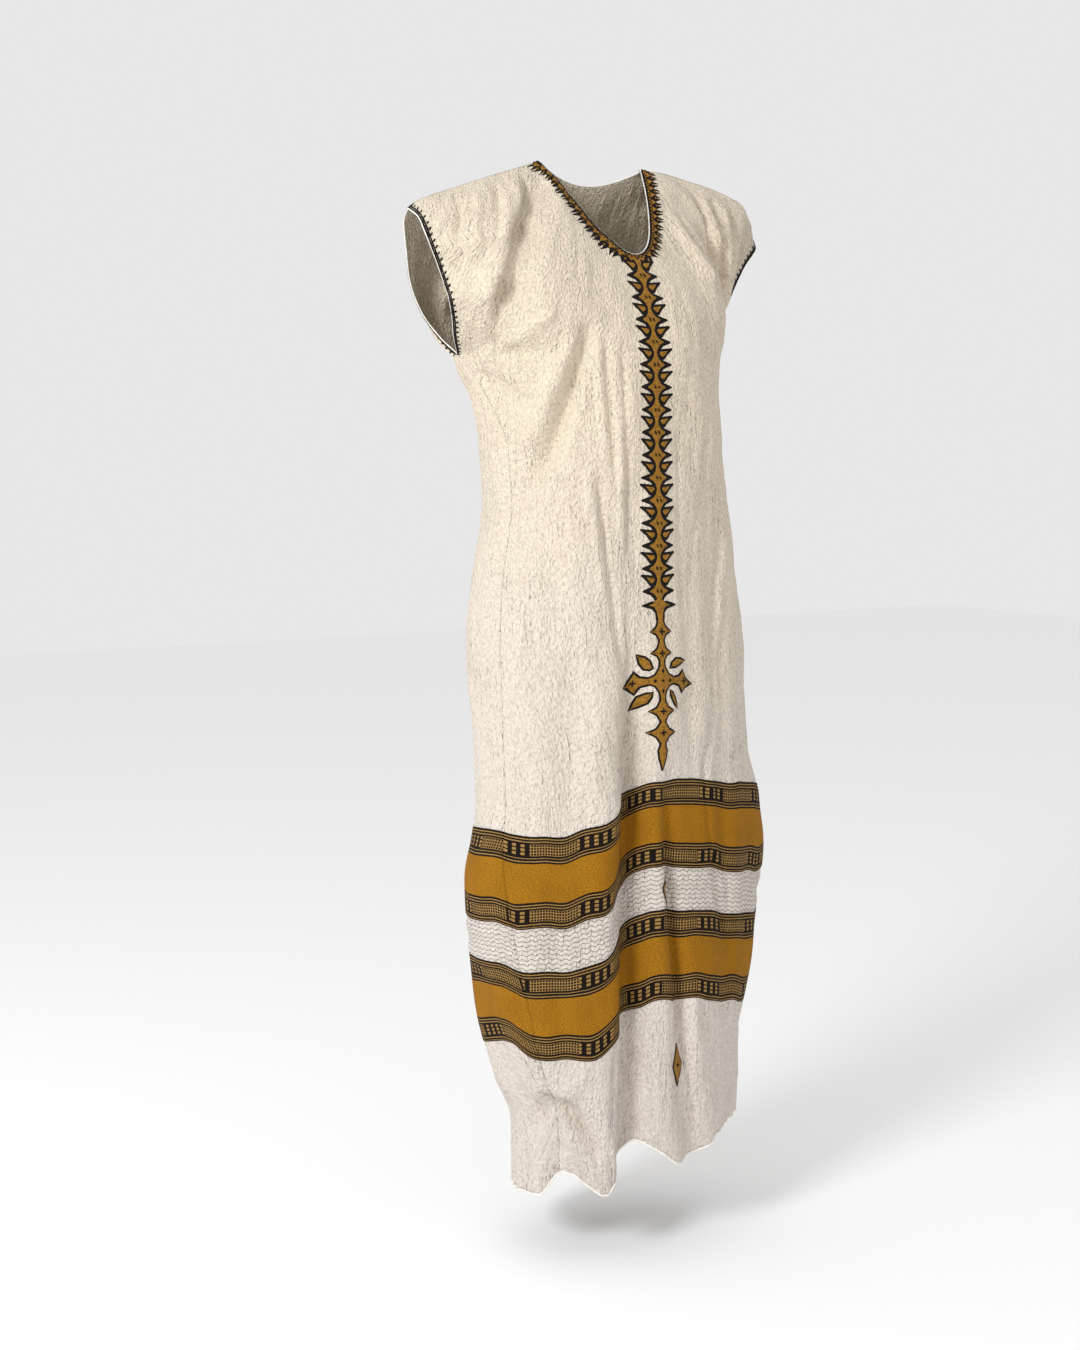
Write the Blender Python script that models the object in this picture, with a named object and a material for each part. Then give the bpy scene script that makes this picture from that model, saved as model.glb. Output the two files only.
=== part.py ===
"""Habesha kemis: a long white cotton dress with a V neck, cap sleeves and two woven borders.

Metres, +Z up. The origin is midway between the neck ends of the two shoulder seams,
the front faces -Y and the wearer's left is +X. The dress keeps the hollow form that it has when worn.
"""
import bpy
import numpy as np

# Cloth and gaps
WALL = 0.0016
SEAM_GAP = 0.0003
SEAM_SHARE = 0.6
SKIN_GAP = 0.00095
BORDER_THICK = 0.0008
STITCH_THICK = 0.0010

# Levels of the weave, hem to underarm
HEM = -1.320
BORDERS_FOOT = -1.130
BORDERS_HEAD = -0.840
BORDER_HEIGHT = 0.117
UNDERARM = -0.262
HANG_ENDS = -0.520

# Neck and shoulders
NECK_HALF = 0.083
NECK_FRONT_DROP = 0.130
NECK_BACK_DROP = 0.028
NECK_ROUNDING = 2.0
CHEST_SLOPE = 0.846
BACK_SLOPE = 0.55

# Embroidery
STRIP_HALF = 0.0255
STRIP_NOTCH = 0.0175
TOOTH_PITCH = 0.0160
STRIP_TOP = -0.1545
STRIP_FOOT = -0.590
STRIP_COLUMNS = 5
STRIP_TOP_SHARE = 0.75
STRIP_WIDENING = 0.05
MOTIF_STEP = 0.006
MOTIF_COLUMNS_ACROSS = 9

# Yoke: how its rows rise from the underarm to the shoulders. The powers say how late the cloth leans back,
# at the centre and at the sleeves, and the lift how much closer the rows get towards the top.
CENTRE_LEAN = 1.25
SIDE_LEAN = 1.8
LOW_LIFT = 1.3
CREASE_FADE = 0.06

# Grid of each panel: columns from a side to the centre, and the column that meets the neck's end
HALF_COLUMNS = 16
NECK_COLUMN = 11
UPPER_ROWS = 10
FRONT_BAND_ROWS = 2
BACK_BAND_ROWS = 1
ROWS_BELOW_BORDERS = 5
ROWS_IN_BORDER = 3
ROWS_BETWEEN_BORDERS = 2
ROWS_ABOVE_BORDERS = 17
SECTION_SAMPLES = 300

# Sections of the hollow, each at one level of the weave: how far it reaches to the wearer's right and
# left, front and back, the y of its widest part, and the angles of the two side seams.
# Angles are in degrees round the dress: 0 at the wearer's left, 90 at the front, 180 at the right.
SECTION_POWER = 2.2
SECTION_COLUMNS = ("level", "right", "left", "front", "back", "widest_y", "right_seam", "left_seam")
SECTIONS = np.array([
    (-1.320, -0.137, 0.178, -0.170, 0.060, -0.050, 150.0, -6.0),
    (-1.230, -0.142, 0.186, -0.171, 0.060, -0.052, 150.0, -6.0),
    (-1.176, -0.166, 0.187, -0.171, 0.063, -0.052, 147.0, -5.0),
    (-1.070, -0.193, 0.215, -0.171, 0.064, -0.050, 148.0, -3.0),
    (-0.989, -0.207, 0.224, -0.171, 0.066, -0.050, 151.0, 0.0),
    (-0.909, -0.214, 0.232, -0.172, 0.062, -0.052, 155.0, 0.0),
    (-0.856, -0.203, 0.226, -0.172, 0.060, -0.052, 161.0, 0.0),
    (-0.802, -0.196, 0.208, -0.172, 0.060, -0.048, 162.0, 0.0),
    (-0.642, -0.196, 0.201, -0.168, 0.090, -0.036, 163.0, 0.0),
    (-0.535, -0.183, 0.188, -0.161, 0.090, -0.030, 164.0, 0.0),
    (-0.460, -0.170, 0.178, -0.161, 0.094, -0.025, 164.0, 0.0),
    (-0.375, -0.168, 0.174, -0.161, 0.098, -0.020, 168.0, 0.0),
    (-0.321, -0.174, 0.172, -0.161, 0.100, -0.005, 175.0, 0.0),
    (-0.262, -0.196, 0.180, -0.158, 0.102, 0.018, 180.0, 0.0),
])

# How much higher or lower the weave hangs at each angle, at the borders' head and foot and at the hem
HANG_COLUMNS = ("angle", "head", "foot", "hem")
HANG = np.array([
    (-30.0, -0.020, -0.014, 0.020),
    (5.0, -0.006, -0.004, 0.034),
    (40.0, 0.000, 0.000, 0.030),
    (66.0, 0.014, 0.016, 0.018),
    (80.0, 0.023, 0.026, 0.004),
    (92.0, 0.027, 0.030, 0.026),
    (99.0, 0.008, 0.014, 0.036),
    (108.0, -0.016, -0.008, 0.008),
    (121.0, -0.032, -0.034, -0.022),
    (148.0, -0.040, -0.034, 0.008),
    (165.0, -0.033, -0.018, -0.030),
    (200.0, -0.040, -0.030, -0.037),
    (240.0, -0.034, -0.026, -0.024),
    (285.0, -0.028, -0.020, -0.014),
    (330.0, -0.020, -0.014, 0.020),
])

# Hanging folds of the skirt, pressed in from the outside: the x of each at its top, middle and hem,
# the level where it starts, its depth and its width. A fold is at full depth after part of its length.
FOLD_FULL = 0.35
FOLD_COLUMNS = ("top", "middle", "hem", "starts", "deep", "wide")
FRONT_FOLDS = np.array([
    (-0.042, -0.036, -0.036, -0.560, 0.036, 0.019),
    (0.012, 0.016, 0.050, -0.780, 0.014, 0.017),
    (0.105, 0.085, 0.135, -0.420, 0.006, 0.020),
])
BACK_FOLDS = np.array([
    (-0.085, -0.070, -0.062, -0.600, 0.020, 0.024),
    (0.004, 0.010, -0.004, -0.500, 0.012, 0.020),
    (0.100, 0.085, 0.080, -0.640, 0.024, 0.025),
])

# Creases of the yoke, each a trough between two points in the x-z plane
CREASE_COLUMNS = ("x0", "z0", "x1", "z1", "deep", "wide")
FRONT_CREASES = np.array([
    (-0.098, -0.040, -0.150, -0.105, 0.012, 0.017),
    (-0.150, -0.105, -0.184, -0.185, 0.017, 0.017),
    (-0.184, -0.185, -0.176, -0.262, 0.015, 0.018),
    (0.118, -0.050, 0.165, -0.130, 0.010, 0.018),
    (0.165, -0.130, 0.176, -0.225, 0.014, 0.018),
])
BACK_CREASES = np.array([
    (-0.120, -0.060, -0.172, -0.170, 0.009, 0.020),
    (-0.172, -0.170, -0.170, -0.255, 0.012, 0.020),
    (0.120, -0.060, 0.165, -0.170, 0.009, 0.020),
    (0.165, -0.170, 0.160, -0.250, 0.012, 0.020),
])

# Shoulder seams, neck end to sleeve: z of the seam at each x
SHOULDER_COLUMNS = ("x", "right_z", "left_z")
SHOULDER = np.array([
    (0.083, 0.000, 0.000),
    (0.120, -0.013, -0.002),
    (0.160, -0.026, -0.009),
    (0.205, -0.042, -0.018),
    (0.245, -0.056, -0.032),
    (0.268, -0.066, -0.055),
    (0.280, -0.076, -0.091),
])

# Sleeve openings, from the shoulder seam down to the underarm
SLEEVE_COLUMNS = ("down", "x", "front_y", "back_x", "back_y")
RIGHT_SLEEVE = np.array([
    (0.00, -0.280, 0.000, -0.280, 0.000),
    (0.08, -0.278, -0.027, -0.273, 0.024),
    (0.19, -0.274, -0.037, -0.265, 0.036),
    (0.31, -0.268, -0.044, -0.257, 0.046),
    (0.46, -0.259, -0.049, -0.248, 0.056),
    (0.59, -0.250, -0.050, -0.238, 0.060),
    (0.72, -0.238, -0.040, -0.226, 0.058),
    (0.88, -0.220, -0.014, -0.208, 0.044),
    (1.00, -0.196, 0.018, -0.196, 0.018),
])
LEFT_SLEEVE = np.array([
    (0.00, 0.280, 0.000, 0.280, 0.000),
    (0.08, 0.270, -0.016, 0.276, 0.018),
    (0.23, 0.248, -0.018, 0.266, 0.036),
    (0.50, 0.220, -0.022, 0.242, 0.052),
    (0.75, 0.200, -0.012, 0.214, 0.050),
    (1.00, 0.180, 0.018, 0.180, 0.018),
])

# Motifs that hang below the strip, down the centre line: level and half width
MOTIFS = np.array([
    (-0.5915, 0.0160),
    (-0.5990, 0.0035),
    (-0.6190, 0.0140),
    (-0.6325, 0.0035),
    (-0.6480, 0.0150),
    (-0.6600, 0.0050),
    (-0.6670, 0.0170),
    (-0.6760, 0.0210),
    (-0.6920, 0.0210),
    (-0.7010, 0.0170),
    (-0.7095, 0.0050),
    (-0.7230, 0.0150),
    (-0.7355, 0.0030),
    (-0.7515, 0.0140),
    (-0.7665, 0.0025),
    (-0.7800, 0.0065),
    (-0.8010, 0.0010),
])

COTTON = (0.88, 0.86, 0.80)
OCHRE = (0.46, 0.24, 0.03)
STITCH_OCHRE = (0.40, 0.20, 0.02)


def curve(value, table, columns, key, name):
    """Reads a table as a smooth curve that doesn't swing past its rows."""
    keys = table[:, columns.index(key)]
    values = table[:, columns.index(name)]
    slopes = np.diff(values) / np.diff(keys)
    tangents = np.concatenate([slopes[:1], np.zeros(len(keys) - 2), slopes[-1:]])
    for row in range(1, len(keys) - 1):
        before, after = slopes[row - 1], slopes[row]
        if before * after > 0:
            tangents[row] = 2 * before * after / (before + after)
    value = np.clip(value, keys[0], keys[-1])
    row = np.clip(np.searchsorted(keys, value, side="right") - 1, 0, len(keys) - 2)
    step = keys[row + 1] - keys[row]
    part = (value - keys[row]) / step
    start = (1 + 2 * part) * (1 - part) ** 2 * values[row] + part * (1 - part) ** 2 * step * tangents[row]
    end = part ** 2 * (3 - 2 * part) * values[row + 1] + part ** 2 * (part - 1) * step * tangents[row + 1]
    return start + end


def ease(part):
    """Rises smoothly from 0 to 1."""
    part = np.clip(part, 0.0, 1.0)
    return part * part * (3 - 2 * part)


def hang(angle, level):
    """Height that the weave gains or loses at an angle, fading out towards the waist."""
    turned = np.mod(angle - HANG[0, 0], 360.0) + HANG[0, 0]
    head, foot, hem = (curve(turned, HANG, HANG_COLUMNS, "angle", name) for name in HANG_COLUMNS[1:])
    if level >= BORDERS_HEAD:
        return head * ease((HANG_ENDS - level) / (HANG_ENDS - BORDERS_HEAD))
    if level >= BORDERS_FOOT:
        part = (BORDERS_HEAD - level) / (BORDERS_HEAD - BORDERS_FOOT)
        return head * (1 - part) + foot * part
    part = (BORDERS_FOOT - level) / (BORDERS_FOOT - HEM)
    return foot * (1 - part) + hem * part


def fold_depth(x, level, folds):
    """Depth that the hanging folds press in at x."""
    depth = np.zeros_like(x)
    for row in folds:
        fold = dict(zip(FOLD_COLUMNS, row))
        part = (fold["starts"] - level) / (fold["starts"] - HEM)
        if part <= 0:
            continue
        line = fold["top"] * (1 - part) ** 2 + 2 * fold["middle"] * part * (1 - part) + fold["hem"] * part ** 2
        depth += fold["deep"] * ease(part / FOLD_FULL) * np.exp(-((x - line) / fold["wide"]) ** 2)
    return depth


def section(angle, level):
    """Points of one horizontal section of the skirt and bodice."""
    turn = np.radians(angle)
    across, forward = np.cos(turn), np.sin(turn)
    power = 2 / SECTION_POWER
    right, left, front, back, widest = (
        curve(level, SECTIONS, SECTION_COLUMNS, "level", name) for name in SECTION_COLUMNS[1:6])
    x = np.where(across < 0, -right, left) * np.sign(across) * np.abs(across) ** power
    reach = np.where(forward > 0, front - widest, back - widest)
    y = widest + reach * np.abs(forward) ** power
    y = y + np.where(forward > 0, fold_depth(x, level, FRONT_FOLDS), -fold_depth(x, level, BACK_FOLDS))
    return np.stack([x, y, level + hang(angle, level)], axis=-1)


def spread(points, count):
    """Spaces points evenly along a line."""
    run = np.concatenate([[0.0], np.cumsum(np.linalg.norm(np.diff(points, axis=0), axis=1))])
    places = np.linspace(0.0, run[-1], count + 1)
    return np.stack([np.interp(places, run, points[:, axis]) for axis in range(3)], axis=-1)


def tube_row(level, middle):
    """One row of a panel, right seam to left seam, through the angle of its middle."""
    right = float(curve(level, SECTIONS, SECTION_COLUMNS, "level", "right_seam"))
    left = float(curve(level, SECTIONS, SECTION_COLUMNS, "level", "left_seam"))
    if middle > 180.0:
        left += 360.0
    halves = [spread(section(np.linspace(start, end, SECTION_SAMPLES), level), HALF_COLUMNS)
              for start, end in ((right, middle), (middle, left))]
    return np.concatenate([halves[0], halves[1][1:]])


def top_row(drop, slope):
    """The upper edge of a panel: shoulder seam, neckline, shoulder seam."""
    points = []
    for column in range(-HALF_COLUMNS, HALF_COLUMNS + 1):
        side = "right_z" if column < 0 else "left_z"
        sign = -1.0 if column < 0 else 1.0
        out = abs(column)
        neck_end = HALF_COLUMNS - NECK_COLUMN
        if out >= neck_end:
            part = (out - neck_end) / NECK_COLUMN
            x = NECK_HALF + (SHOULDER[-1, 0] - NECK_HALF) * part
            points.append((sign * x, 0.0, float(curve(x, SHOULDER, SHOULDER_COLUMNS, "x", side))))
        else:
            part = out / neck_end
            z = -drop * (1 - part ** NECK_ROUNDING)
            points.append((sign * NECK_HALF * part, slope * z, z))
    return np.array(points)


def sleeve_edge(table, along, low, x_name, y_name):
    """A point of a sleeve's edge, from the underarm (0) to the shoulder seam (1)."""
    down = 1.0 - along
    tip = SHOULDER[-1, 1] if table is RIGHT_SLEEVE else SHOULDER[-1, 2]
    x = float(curve(down, table, SLEEVE_COLUMNS, "down", x_name))
    y = float(curve(down, table, SLEEVE_COLUMNS, "down", y_name))
    return np.array([x, y, tip + (low - tip) * down])


def upper_rows(bottom, top, x_name, y_name):
    """Rows of the yoke, between the underarm and the shoulders and between the sleeves' edges."""
    columns = np.abs(np.arange(-HALF_COLUMNS, HALF_COLUMNS + 1)) / HALF_COLUMNS
    near_side = ease(columns)[:, None]
    lean = CENTRE_LEAN + (SIDE_LEAN - CENTRE_LEAN) * ease(columns)
    rows = []
    for row in range(1, UPPER_ROWS + 1):
        part = row / UPPER_ROWS
        climb = LOW_LIFT * part - (LOW_LIFT - 1) * part ** 2
        rise = np.stack([np.full_like(lean, part), part ** lean, np.full_like(lean, climb)], axis=-1)
        points = bottom * (1 - rise) + top * rise
        for end, table in ((0, RIGHT_SLEEVE), (-1, LEFT_SLEEVE)):
            edge = sleeve_edge(table, climb, bottom[end, 2], x_name, y_name)
            half = np.arange(len(points)) <= HALF_COLUMNS
            if end == -1:
                half = ~half
            points = points + (edge - points[end]) * near_side * half[:, None]
        rows.append(points)
    return rows


def press_creases(grid, creases, inward):
    """Presses the yoke's creases into a panel."""
    for row in creases:
        crease = dict(zip(CREASE_COLUMNS, row))
        start = np.array([crease["x0"], crease["z0"]])
        run = np.array([crease["x1"], crease["z1"]]) - start
        away = grid[..., [0, 2]] - start
        along = np.clip(away @ run / (run @ run), 0.0, 1.0)
        distance = np.linalg.norm(away - along[..., None] * run, axis=-1)
        depth = crease["deep"] * np.exp(-(distance / crease["wide"]) ** 2)
        depth *= ease(-grid[..., 2] / CREASE_FADE)
        depth[:, [0, -1]] = 0.0
        grid[..., 1] += inward * depth
    return grid


def weave_levels():
    """Levels of the grid's rows, with one on each edge of the woven borders."""
    upper_foot = BORDERS_HEAD - BORDER_HEIGHT
    lower_head = BORDERS_FOOT + BORDER_HEIGHT
    runs = ((HEM, BORDERS_FOOT, ROWS_BELOW_BORDERS), (BORDERS_FOOT, lower_head, ROWS_IN_BORDER),
            (lower_head, upper_foot, ROWS_BETWEEN_BORDERS), (upper_foot, BORDERS_HEAD, ROWS_IN_BORDER),
            (BORDERS_HEAD, UNDERARM, ROWS_ABOVE_BORDERS))
    levels = [HEM]
    for low, high, count in runs:
        levels.extend(np.linspace(low, high, count + 1)[1:])
    return levels


def panel(middle, drop, slope, creases, names):
    """A panel's outer surface: rows of points from the hem to the shoulders."""
    rows = [tube_row(level, middle) for level in weave_levels()]
    rows += upper_rows(rows[-1], top_row(drop, slope), *names)
    inward = 1.0 if middle < 180.0 else -1.0
    return press_creases(np.array(rows), creases, inward)


def unit(vectors):
    return vectors / np.linalg.norm(vectors, axis=-1, keepdims=True)


def outward(grid, flip):
    """Normals of a grid, pointing out of the dress."""
    across = np.gradient(grid, axis=1)
    up = np.gradient(grid, axis=0)
    return unit(np.cross(across, up)) * flip


def share_seams(front, back, front_out, back_out):
    """Gives the two panels one normal along each seam, and parts them there by the seam gap."""
    sides = len(weave_levels())
    neck_end = HALF_COLUMNS - NECK_COLUMN
    shoulders = [column for column in range(2 * HALF_COLUMNS + 1)
                 if abs(column - HALF_COLUMNS) >= neck_end]
    seams = [(row, column) for column in (0, 2 * HALF_COLUMNS) for row in range(sides)]
    seams += [(len(front) - 1, column) for column in shoulders]
    for row, column in seams:
        shared = unit(front_out[row, column] + back_out[row, column])
        front_out[row, column] = shared
        back_out[row, column] = shared
        inner = 1 if column == 0 else 2 * HALF_COLUMNS - 1
        step = (row, inner) if row < sides else (row - 1, column)
        apart = front[step] - back[step]
        apart = unit(apart - (apart @ shared) * shared)
        front[row, column] += apart * SEAM_GAP * SEAM_SHARE
        back[row, column] -= apart * SEAM_GAP * SEAM_SHARE


def wall(name, outer, inner, colour, roughness, flip):
    """A closed wall between two grids of the same size."""
    rows, columns = outer.shape[:2]
    count = rows * columns
    points = np.concatenate([outer.reshape(-1, 3), inner.reshape(-1, 3)])
    faces = []
    for row in range(rows - 1):
        for column in range(columns - 1):
            first = row * columns + column
            corners = (first, first + 1, first + columns + 1, first + columns)
            for a, b, c in ((0, 1, 2), (0, 2, 3)):
                faces.append((corners[a], corners[b], corners[c]))
                faces.append((corners[c] + count, corners[b] + count, corners[a] + count))
    rim = list(range(columns))
    rim += [row * columns + columns - 1 for row in range(1, rows)]
    rim += [(rows - 1) * columns + column for column in range(columns - 2, -1, -1)]
    rim += [row * columns for row in range(rows - 2, 0, -1)]
    for place, here in enumerate(rim):
        after = rim[(place + 1) % len(rim)]
        faces.append((after, here, here + count))
        faces.append((after, here + count, after + count))
    if flip < 0:
        faces = [face[::-1] for face in faces]
    mesh = bpy.data.meshes.new(name)
    mesh.from_pydata(points.tolist(), [], faces)
    mesh.shade_smooth()
    mesh.set_sharp_from_angle(angle=np.radians(50.0))
    mesh.materials.append(cloth_material(name, colour, roughness))
    piece = bpy.data.objects.new(name, mesh)
    bpy.context.scene.collection.objects.link(piece)
    return piece


def cloth_material(name, colour, roughness):
    material = bpy.data.materials.new(name)
    material.use_nodes = True
    shader = material.node_tree.nodes["Principled BSDF"]
    shader.inputs["Base Color"].default_value = (*colour, 1.0)
    shader.inputs["Roughness"].default_value = roughness
    return material


def skin(name, grid, normals, thick, colour, flip):
    """A thin woven or stitched layer that lies on a panel, made from its points."""
    under = grid + normals * SKIN_GAP
    return wall(name, under + normals * thick, under, colour, 0.85, flip)


def border_rows(head):
    """Rows of the grid between a border's foot and head."""
    levels = np.array(weave_levels())
    inside = (levels > head - BORDER_HEIGHT - 0.0005) & (levels < head + 0.0005)
    return np.nonzero(inside)[0]


def seated(grid, normals, x, z):
    """The point of a panel's facets at x and z in front view, and its normal."""
    rows, columns = grid.shape[:2]
    index = np.arange(rows * columns).reshape(rows, columns)
    first, second = index[:-1, :-1].ravel(), index[:-1, 1:].ravel()
    third, fourth = index[1:, 1:].ravel(), index[1:, :-1].ravel()
    triangles = np.concatenate([np.stack([first, second, third], 1), np.stack([first, third, fourth], 1)])
    flat = grid.reshape(-1, 3)
    corner = flat[triangles][:, :, [0, 2]]
    side_a, side_b = corner[:, 1] - corner[:, 0], corner[:, 2] - corner[:, 0]
    away = np.array([x, z]) - corner[:, 0]
    area = side_a[:, 0] * side_b[:, 1] - side_a[:, 1] * side_b[:, 0]
    area = np.where(np.abs(area) < 1e-12, 1e-12, area)
    b = (away[:, 0] * side_b[:, 1] - away[:, 1] * side_b[:, 0]) / area
    c = (side_a[:, 0] * away[:, 1] - side_a[:, 1] * away[:, 0]) / area
    best = np.argmax(np.minimum(np.minimum(b, c), 1 - b - c))
    weights = np.array([1 - b[best] - c[best], b[best], c[best]])
    corners = triangles[best]
    return weights @ flat[corners], unit(weights @ normals.reshape(-1, 3)[corners])


def seated_skin(name, plan, grid, normals, thick, colour, flip):
    """A skin laid on a panel from a plan of x and z places."""
    found = [[seated(grid, normals, x, z) for x, z in row] for row in plan]
    points = np.array([[place for place, _ in row] for row in found])
    ways = np.array([[way for _, way in row] for row in found])
    return skin(name, points, ways, thick, colour, flip)


def centred_plan(rows, columns):
    """Rows of x and z places, bottom row first, each centred on the front and as wide as its row."""
    across = np.linspace(-1.0, 1.0, columns)
    return [[(half * share, z) for share in across] for z, half in reversed(rows)]


def strip_plan():
    """The serrated strip down the front."""
    count = round((STRIP_TOP - STRIP_FOOT) / TOOTH_PITCH * 2)
    rows = []
    for step in range(count + 1):
        half = STRIP_HALF if step % 2 else STRIP_NOTCH
        widening = min(1.0, STRIP_TOP_SHARE + STRIP_WIDENING * step)
        rows.append((STRIP_TOP + (STRIP_FOOT - STRIP_TOP) * step / count, half * widening))
    return centred_plan(rows, STRIP_COLUMNS)


def motif_plan():
    """The diamonds, cross and drop below the strip."""
    rows = []
    for (high, wide), (low, narrow) in zip(MOTIFS[:-1], MOTIFS[1:]):
        steps = round(max(high - low, 2 * abs(wide - narrow), MOTIF_STEP) / MOTIF_STEP)
        for step in range(steps):
            part = step / steps
            rows.append((high + (low - high) * part, wide + (narrow - wide) * part))
    rows.append(tuple(MOTIFS[-1]))
    return centred_plan(rows, MOTIF_COLUMNS_ACROSS)


def neck_band(name, grid, normals, rows, flip):
    """The embroidered band round the neckline: the top rows of a panel between the neck's ends."""
    neck_end = HALF_COLUMNS - NECK_COLUMN
    across = slice(HALF_COLUMNS - neck_end, HALF_COLUMNS + neck_end + 1)
    top = len(grid) - 1 - rows
    skin(name, grid[top:, across], normals[top:, across], STITCH_THICK, STITCH_OCHRE, flip)


def main():
    for old in list(bpy.data.objects):
        bpy.data.objects.remove(old, do_unlink=True)

    front = panel(90.0, NECK_FRONT_DROP, CHEST_SLOPE, FRONT_CREASES, ("x", "front_y"))
    back = panel(270.0, NECK_BACK_DROP, -BACK_SLOPE, BACK_CREASES, ("back_x", "back_y"))
    front_out, back_out = outward(front, 1.0), outward(back, -1.0)
    share_seams(front, back, front_out, back_out)

    wall("front_panel", front, front - front_out * WALL, COTTON, 0.9, 1.0)
    wall("back_panel", back, back - back_out * WALL, COTTON, 0.9, -1.0)

    for place, head in (("upper", BORDERS_HEAD), ("lower", BORDERS_FOOT + BORDER_HEIGHT)):
        rows = border_rows(head)
        skin(f"front_{place}_border", front[rows], front_out[rows], BORDER_THICK, OCHRE, 1.0)
        skin(f"back_{place}_border", back[rows], back_out[rows], BORDER_THICK, OCHRE, -1.0)

    for name, plan in (("centre_strip", strip_plan()), ("cross_motif", motif_plan())):
        seated_skin(name, plan, front, front_out, STITCH_THICK, STITCH_OCHRE, 1.0)
    neck_band("front_neck_band", front, front_out, FRONT_BAND_ROWS, 1.0)
    neck_band("back_neck_band", back, back_out, BACK_BAND_ROWS, -1.0)


main()
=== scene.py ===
"""Looks of a habesha kemis: crinkled cotton gauze, two woven ochre borders and thread embroidery.

Metres, +Z up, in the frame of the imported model. The front faces -Y and its left side is +X.
"""

import math

import bpy
import numpy as np
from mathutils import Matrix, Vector
from mathutils.bvhtree import BVHTree


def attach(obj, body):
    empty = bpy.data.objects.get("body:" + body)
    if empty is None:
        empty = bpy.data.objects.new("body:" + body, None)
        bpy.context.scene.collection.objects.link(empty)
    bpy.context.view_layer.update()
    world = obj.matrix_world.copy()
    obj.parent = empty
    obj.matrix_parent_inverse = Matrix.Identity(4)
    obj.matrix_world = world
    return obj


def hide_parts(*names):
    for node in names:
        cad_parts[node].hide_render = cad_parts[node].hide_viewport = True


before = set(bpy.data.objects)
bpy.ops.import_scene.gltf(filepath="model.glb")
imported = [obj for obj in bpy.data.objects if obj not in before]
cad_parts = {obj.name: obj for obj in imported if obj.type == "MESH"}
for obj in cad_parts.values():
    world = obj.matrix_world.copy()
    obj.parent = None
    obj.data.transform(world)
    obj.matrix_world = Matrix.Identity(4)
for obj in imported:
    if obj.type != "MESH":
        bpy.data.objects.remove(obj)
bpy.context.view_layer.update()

MM = 0.001

# Levels of the weave, hem to underarm
HEM = -1.320
BORDERS_FOOT = -1.130
BORDERS_HEAD = -0.840
BORDER_HEIGHT = 0.117
LOWER_HEAD = BORDERS_FOOT + BORDER_HEIGHT
UPPER_FOOT = BORDERS_HEAD - BORDER_HEIGHT
UNDERARM = -0.262
HANG_ENDS = -0.520

# Neck and shoulders
NECK_HALF = 0.083
NECK_FRONT_DROP = 0.130
NECK_BACK_DROP = 0.028
NECK_ROUNDING = 2.0
CHEST_SLOPE = 0.846
BACK_SLOPE = 0.55

# Grid of each panel: columns from a side to the centre, and the column that meets the neck's end
HALF_COLUMNS = 80
NECK_COLUMN = 55
UPPER_ROWS = 56
ROW_STEP = 0.005

# Lean of the yoke's rows towards the neck, at the centre and at the sides, and lift of its lower rows
CENTRE_LEAN = 1.25
SIDE_LEAN = 1.8
LOW_LIFT = 1.3

# Thicknesses of cloth, borders and threads
GAUZE_THICK = 0.0010
BORDER_LIFT = 0.00035
BORDER_THICK = 0.0005

# Form of the dress, as in the solids: sections at levels of the weave
SECTION_POWER = 2.2
SECTION_COLUMNS = ("level", "right", "left", "front", "back", "widest_y", "right_seam", "left_seam")
SECTIONS = np.array([
    (-1.320, -0.137, 0.178, -0.170, 0.060, -0.050, 150.0, -6.0),
    (-1.230, -0.142, 0.186, -0.171, 0.060, -0.052, 150.0, -6.0),
    (-1.176, -0.166, 0.187, -0.171, 0.063, -0.052, 147.0, -5.0),
    (-1.070, -0.193, 0.215, -0.171, 0.064, -0.050, 148.0, -3.0),
    (-0.989, -0.207, 0.224, -0.171, 0.066, -0.050, 151.0, 0.0),
    (-0.909, -0.214, 0.232, -0.172, 0.062, -0.052, 155.0, 0.0),
    (-0.856, -0.203, 0.226, -0.172, 0.060, -0.052, 161.0, 0.0),
    (-0.802, -0.196, 0.208, -0.172, 0.060, -0.048, 162.0, 0.0),
    (-0.642, -0.196, 0.201, -0.168, 0.090, -0.036, 163.0, 0.0),
    (-0.535, -0.183, 0.188, -0.161, 0.090, -0.030, 164.0, 0.0),
    (-0.460, -0.170, 0.178, -0.161, 0.094, -0.025, 164.0, 0.0),
    (-0.375, -0.168, 0.174, -0.161, 0.098, -0.020, 168.0, 0.0),
    (-0.321, -0.174, 0.172, -0.161, 0.100, -0.005, 175.0, 0.0),
    (-0.262, -0.196, 0.180, -0.158, 0.102, 0.018, 180.0, 0.0),
])

# Height that the weave gains or loses at each angle round the skirt
HANG_COLUMNS = ("angle", "head", "foot", "hem")
HANG = np.array([
    (-30.0, -0.020, -0.014, 0.020),
    (5.0, -0.006, -0.004, 0.034),
    (40.0, 0.000, 0.000, 0.030),
    (66.0, 0.014, 0.016, 0.018),
    (80.0, 0.023, 0.026, 0.004),
    (92.0, 0.027, 0.030, 0.026),
    (99.0, 0.008, 0.014, 0.036),
    (108.0, -0.016, -0.008, 0.008),
    (121.0, -0.032, -0.034, -0.022),
    (148.0, -0.040, -0.034, 0.008),
    (165.0, -0.033, -0.018, -0.030),
    (200.0, -0.040, -0.030, -0.037),
    (240.0, -0.034, -0.026, -0.024),
    (285.0, -0.028, -0.020, -0.014),
    (330.0, -0.020, -0.014, 0.020),
])

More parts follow.
